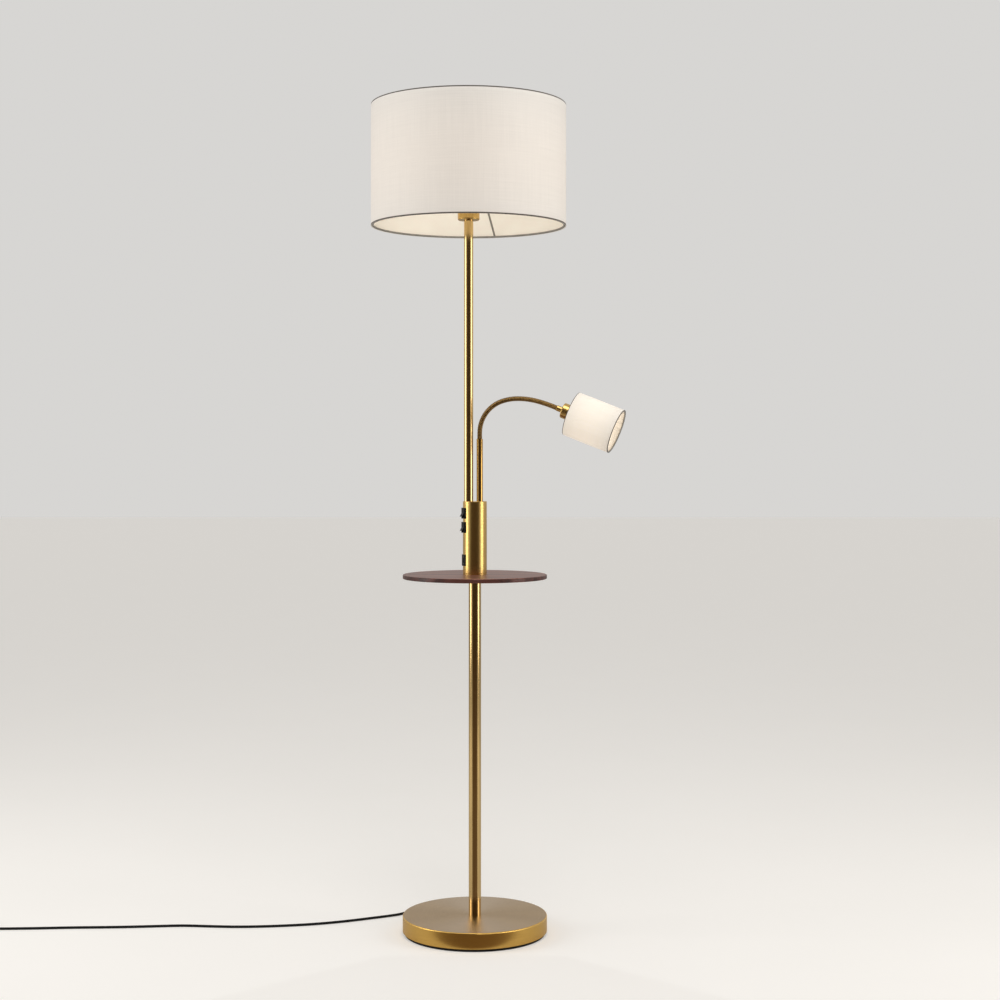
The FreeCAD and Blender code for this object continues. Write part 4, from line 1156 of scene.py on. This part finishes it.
@dataclass
class Gooseneck:
    """Flexible neck: a wound wire over a core, in one piece for each hinge of the frame."""

    finishes: Finishes
    base: Point = (SLEEVE_X, 0.0, 0.959)
    azimuth: float = -14.5
    straight: float = 12.0 * MM
    arcs: tuple[tuple[float, float], ...] = ((0.064, 72.0), (0.100, 18.0), (0.154, 15.5), (0.300, 6.0))
    inserted: float = 6.0 * MM
    first_hinge: float = 16.0 * MM
    step: float = 27.0 * MM
    hinges: int = 7
    length: float = 205.0 * MM
    radius: float = 5.0 * MM
    pitch: float = 3.0 * MM
    past_end: float = 1.0 * MM
    wire_share: float = 0.53
    core_inset: float = 0.5
    sampling: float = 1.5 * MM

    def point(self, distance: float) -> Vector:
        """Centreline point at a distance from the sleeve's end; below it the line is straight.

        Args:
            distance: The distance in metres.

        Returns:
            The point.
        """
        heading = 90.0
        reach, level = 0.0, min(distance, self.straight)
        left = max(0.0, distance - self.straight)
        for radius, turn in self.arcs:
            part = min(turn, math.degrees(left / radius))
            start, finish = math.radians(heading), math.radians(heading - part)
            reach += radius * (math.sin(start) - math.sin(finish))
            level -= radius * (math.cos(start) - math.cos(finish))
            heading -= part
            left -= math.radians(part) * radius
        reach += left * math.cos(math.radians(heading))
        level += left * math.sin(math.radians(heading))
        way = math.radians(self.azimuth)
        return Vector(self.base) + Vector((reach * math.cos(way), reach * math.sin(way), level))

    def build(self) -> None:
        """Wind one piece along the bent centreline round each hinge."""
        tree = RibTree()
        way = math.radians(self.azimuth)
        normal = (-math.sin(way), math.cos(way), 0.0)
        for index in range(self.hinges):
            hinge = self.first_hinge + self.step * index
            low = -self.inserted if index == 0 else hinge - self.step / 2
            high = self.length + self.past_end if index == self.hinges - 1 else hinge + self.step / 2
            count = max(2, round((high - low) / self.sampling))
            line = [self.point(low + (high - low) * i / count) for i in range(count + 1)]
            name = "gooseneck_winding_%d" % (index + 1)
            piece = tree.grow(name, line, {
                "Phase Length": low, "Wire Pitch": self.pitch, "Wire Radius": self.pitch * self.wire_share,
                "Neck Radius": self.radius, "Core Radius": self.radius - self.pitch * self.core_inset,
                "Plane Normal": normal, "Finish": self.finishes.neck_bronze})
            nodes = ["neck_root" if index == 0 else "neck_link_%d" % index]
            if index == self.hinges - 1:
                nodes.append("neck_tip")
            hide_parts(*nodes)
            half = min(hinge - low, high - hinge, self.step / 2)
            ends = self.point(hinge - half), self.point(hinge + half)
            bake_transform(piece)
            LOG.info("%s: %d faces", name, len(piece.data.polygons))


@dataclass
class DrumShade:
    """Fabric drum over a stiff liner, made round an axis, with a glued seam at the back."""

    name: str
    fabric_finish: Material
    centre: Point
    axis: Vector
    radius: float
    length: float
    wall: float
    body: Body
    node: str
    seam_way: Vector
    rests_on: tuple[str, ...]
    steps: int = FINE_STEPS
    rows: int = 24
    seam_width: float = 12.0 * MM
    seam_lift: float = 0.7 * MM
    rounding: float = 0.12
    crown_depth: float = 0.45
    turn_in: float = 0.3
    rim_inset: float = 0.4 * MM
    first_row: float = 0.02

    def turn(self) -> Matrix:
        """Place the upright pattern, whose seam is at +X.

        Returns:
            Matrix from the pattern to the shade.
        """
        up = self.axis.normalized()
        side = (self.seam_way - up * self.seam_way.dot(up)).normalized()
        return Matrix.Translation(self.centre) @ Matrix((side, up.cross(side), up)).transposed().to_4x4()

    def bulge(self, around: float) -> float:
        """Extra radius beside the seam, where the cloth's end laps over its start.

        Args:
            around: Distance round from the seam.

        Returns:
            The extra radius.
        """
        share = abs(around) / self.seam_width
        return self.seam_lift * max(0.0, 1.0 - share ** 6) if share < 1 else 0.0

    def profile(self) -> list[tuple[float, float]]:
        """Section of the cloth, turned in at both rims.

        Returns:
            Points of (radius, height).
        """
        inner = self.radius - self.wall
        crown = self.radius - self.crown_depth * self.wall
        soft = self.wall * self.rounding
        rows = [self.length * row / self.rows for row in range(self.rows + 1)]
        rows[0] = self.length * self.first_row / self.rows + self.rim_inset
        rows[-1] = self.length - self.rim_inset
        tuck = self.turn_in * self.wall
        return [(self.radius - soft, soft), *((self.radius, height) for height in rows),
                (self.radius - soft, self.length - soft), (crown, self.length),
                (inner, self.length - tuck), (inner, tuck), (crown, 0.0)]

    def build(self) -> Object:
        """Lay the cloth round the drum, with a UV map in metres.

        Returns:
            The fabric.
        """
        profile = self.profile()
        inner = self.radius - self.wall
        bm = bmesh.new()
        uv = bm.loops.layers.uv.new("weave")
        around = FULL_TURN * self.radius / self.steps
        rings = []
        for radius, height in profile:
            ring = []
            for i in range(self.steps):
                angle = FULL_TURN * i / self.steps
                distance = min(i, self.steps - i) * around
                lift = self.bulge(distance) - self.seam_lift if radius > inner + WELD else 0.0
                reach = radius + lift
                ring.append(bm.verts.new((reach * math.cos(angle), reach * math.sin(angle), height)))
            rings.append(ring)
        for row, ring in enumerate(rings):
            above = rings[(row + 1) % len(rings)]
            low, high = profile[row][1], profile[(row + 1) % len(rings)][1]
            for i in range(self.steps):
                after = (i + 1) % self.steps
                face = bm.faces.new([ring[i], ring[after], above[after], above[i]])
                corners = ((i, low), (i + 1, low), (i + 1, high), (i, high))
                for loop, (column, height) in zip(face.loops, corners):
                    loop[uv].uv = (column * around, height)
        bmesh.ops.transform(bm, matrix=self.turn(), verts=bm.verts)
        cloth = settle(mesh_object(self.name, bm, 60.0), self.fabric_finish, self.body,
                       [self.node])
        return cloth


@dataclass
class Foot:
    """Round foot: rubber pad, iron weight and a spun brass cover with a rolled hem."""

    finishes: Finishes
    hem_radius: float = 0.85 * MM
    hem_level: float = 6.2 * MM
    hem_sides: int = 12

    def build(self) -> None:
        """Dress the nodes and roll the hem."""
        dress_nodes(self.finishes.foot_brass, "foot_cover")
        dress_nodes(self.finishes.rubber, "foot_pad")
        dress_nodes(self.finishes.iron, "foot_weight")
        dress_nodes(self.finishes.steel, "foot_washer", "lamp_rods", "rod_nuts")
        centre = FOOT_RADIUS - self.hem_radius
        angles = [FULL_TURN * i / self.hem_sides for i in range(self.hem_sides)]
        circle = [(centre + self.hem_radius * math.cos(a), self.hem_level + self.hem_radius * math.sin(a))
                  for a in angles]
        hem = lathe("foot_cover_hem", circle, FINE_STEPS)
        settle(hem, self.finishes.foot_brass, Body.STAND)


@dataclass
class StrainRelief:
    """Tapered, grooved cord bushing in the foot's wall."""

    finishes: Finishes
    wall_at: float = 138.8 * MM
    bore: float = 2.55 * MM
    root_radius: float = 4.6 * MM
    tip_radius: float = 3.4 * MM
    flange_radius: float = 6.0 * MM
    flange: float = 1.6 * MM
    flange_chamfer: float = 0.4 * MM
    tip_chamfer: tuple[float, float] = (0.4 * MM, 0.5 * MM)
    plain_end: float = 1.0 * MM
    grooves: int = 5
    groove_depth: float = 0.55 * MM
    groove_shape: tuple[tuple[float, float], ...] = ((0.1, 0.0), (0.45, 0.0), (0.55, 1.0), (0.9, 1.0))
    steps: int = 40

    def build(self) -> Object:
        """Turn the bushing about the cord's line of exit.

        Returns:
            The bushing.
        """
        start = FOOT_RADIUS + self.flange
        inset, height = self.tip_chamfer
        profile = [(self.bore, self.wall_at), (self.root_radius, self.wall_at),
                   (self.root_radius, FOOT_RADIUS), (self.flange_radius, FOOT_RADIUS),
                   (self.flange_radius, start - self.flange_chamfer),
                   (self.flange_radius - self.flange_chamfer, start)]
        pitch = (RELIEF_TIP - start - 2 * self.plain_end) / self.grooves
        slope = self.tip_radius - self.root_radius
        for index in range(self.grooves):
            for share, depth in self.groove_shape:
                along = start + self.plain_end + (index + share) * pitch
                wide = self.root_radius + slope * (along - start) / (RELIEF_TIP - start)
                profile.append((wide - depth * self.groove_depth, along))
        profile += [(self.tip_radius, RELIEF_TIP - height), (self.tip_radius - inset, RELIEF_TIP),
                    (self.bore, RELIEF_TIP)]
        way = math.radians(CORD_AZIMUTH)
        piece = lathe("cord_strain_relief", profile, self.steps, (0.0, 0.0, CORD_LEVEL),
                      Vector((math.cos(way), math.sin(way), 0.0)))
        return settle(piece, self.finishes.black, Body.STAND, ["cord_bushing"])


@dataclass
class Column:
    """Poles, table and switch housing."""

    finishes: Finishes

    def build(self) -> None:
        """Dress the nodes of the stand between the foot and the lamp holder."""
        finish = self.finishes
        dress_nodes(finish.pole_brass, "lower_pole")
        dress_nodes(finish.upper_pole_brass, "upper_pole")
        dress_nodes(finish.steel, "lower_pole_inserts", "upper_pole_inserts", "switch_tabs", "port_shell")
        dress_nodes(finish.veneer, "table_top")
        dress_nodes(finish.housing_brass, "housing_tube", "housing_collar", "housing_cap")
        dress_nodes(finish.black, "upper_switch_body", "lower_switch_body", "port_frame", "port_tongue",
                    "inner_lead")
        dress_nodes(finish.rocker, "upper_switch_rocker", "lower_switch_rocker")
        dress_nodes(finish.board, "port_board")


@dataclass
class MainLamp:
    """Holder, bulb and drum shade at the top of the upper pole."""

    finishes: Finishes
    bottom: float = 1.372
    radius: float = 190.0 * MM
    height: float = 235.0 * MM
    wall: float = 1.2 * MM
    seam_way: Point = (0.25, 1.0, 0.0)
    linen: Colour = (0.86, 0.845, 0.81)
    glow: Colour = (1.0, 0.60, 0.32)
    glow_strength: float = 0.12

    def build(self) -> None:
        """Dress the nodes and cover the shade."""
        finish = self.finishes
        dress_nodes(finish.housing_brass, "holder_cup")
        dress_nodes(finish.holder, "main_holder", "shade_clamp_rings")
        dress_nodes(finish.white_wire, "shade_spider", "shade_top_ring")
        dress_nodes(finish.aluminium, "main_bulb_cap")
        dress_nodes(finish.bulb, "main_bulb")
        dress_nodes(finish.liner, "shade_liner")
        linen = LitFabric("main_shade_linen", self.linen, self.glow, self.glow_strength, self.height)
        DrumShade("main_shade_cloth", linen.make(), (POLE_X, 0.0, self.bottom), Vector((0, 0, 1)),
                  self.radius, self.height, self.wall, Body.STAND, "shade_fabric", Vector(self.seam_way),
                  ("shade_liner",)).build()


@dataclass
class ReadingLamp:
    """Fixed sleeve, gooseneck and the small drum on its end."""

    finishes: Finishes
    start: Point = (0.168896, -0.041248, 1.013837)
    axis: Point = (0.90078, -0.23296, -0.36650)
    shade_start: float = 19.0 * MM
    radius: float = 44.0 * MM
    length: float = 94.5 * MM
    wall: float = 1.2 * MM
    seam_way: Point = (0.1, 1.0, 0.3)
    linen: Colour = (0.84, 0.815, 0.77)
    glow: Colour = (1.0, 0.80, 0.58)
    glow_strength: float = 0.38
    # width of the painted ring shadow at the head shade's ends
    rim_shadow_width: float = 1.5 * MM

    def build(self) -> None:
        """Wind the neck, dress the head and cover its shade."""
        finish = self.finishes
        dress_nodes(finish.sleeve_bronze, "neck_sleeve")
        dress_nodes(finish.housing_brass, "neck_ferrule", "head_cup")
        dress_nodes(finish.steel, "neck_stud", "neck_nut")
        dress_nodes(finish.holder, "head_holder", "head_clamp_ring")
        dress_nodes(finish.white_wire, "head_spider", "head_end_ring")
        dress_nodes(finish.aluminium, "head_bulb_cap")
        dress_nodes(finish.bulb, "head_bulb")
        Gooseneck(finish).build()
        way = Vector(self.axis).normalized()
        centre = Vector(self.start) + way * self.shade_start
        linen = LitFabric("head_shade_linen", self.linen, self.glow, self.glow_strength, self.length,
                          rim_shadow_width=self.rim_shadow_width)
        DrumShade("head_shade_cloth", linen.make(), tuple(centre), way, self.radius, self.length, self.wall,
                  Body.HEAD, "head_shade", Vector(self.seam_way), ("head_spider",), steps=96, rows=12,
                  seam_width=8.0 * MM, seam_lift=0.5 * MM).build()


def main() -> None:
    """Build the stage, the cord and every sub-assembly in order."""
    logging.basicConfig(level=logging.INFO, format="%(name)s %(message)s")
    Studio().build()
    finishes = Finishes()
    relief = StrainRelief(finishes).build()
    MainsCord(finishes, relief).build()
    for part in (Foot(finishes), Column(finishes), MainLamp(finishes), ReadingLamp(finishes)):
        LOG.info("building %s", type(part).__name__)
        part.build()


if __name__ == "__main__":
    main()
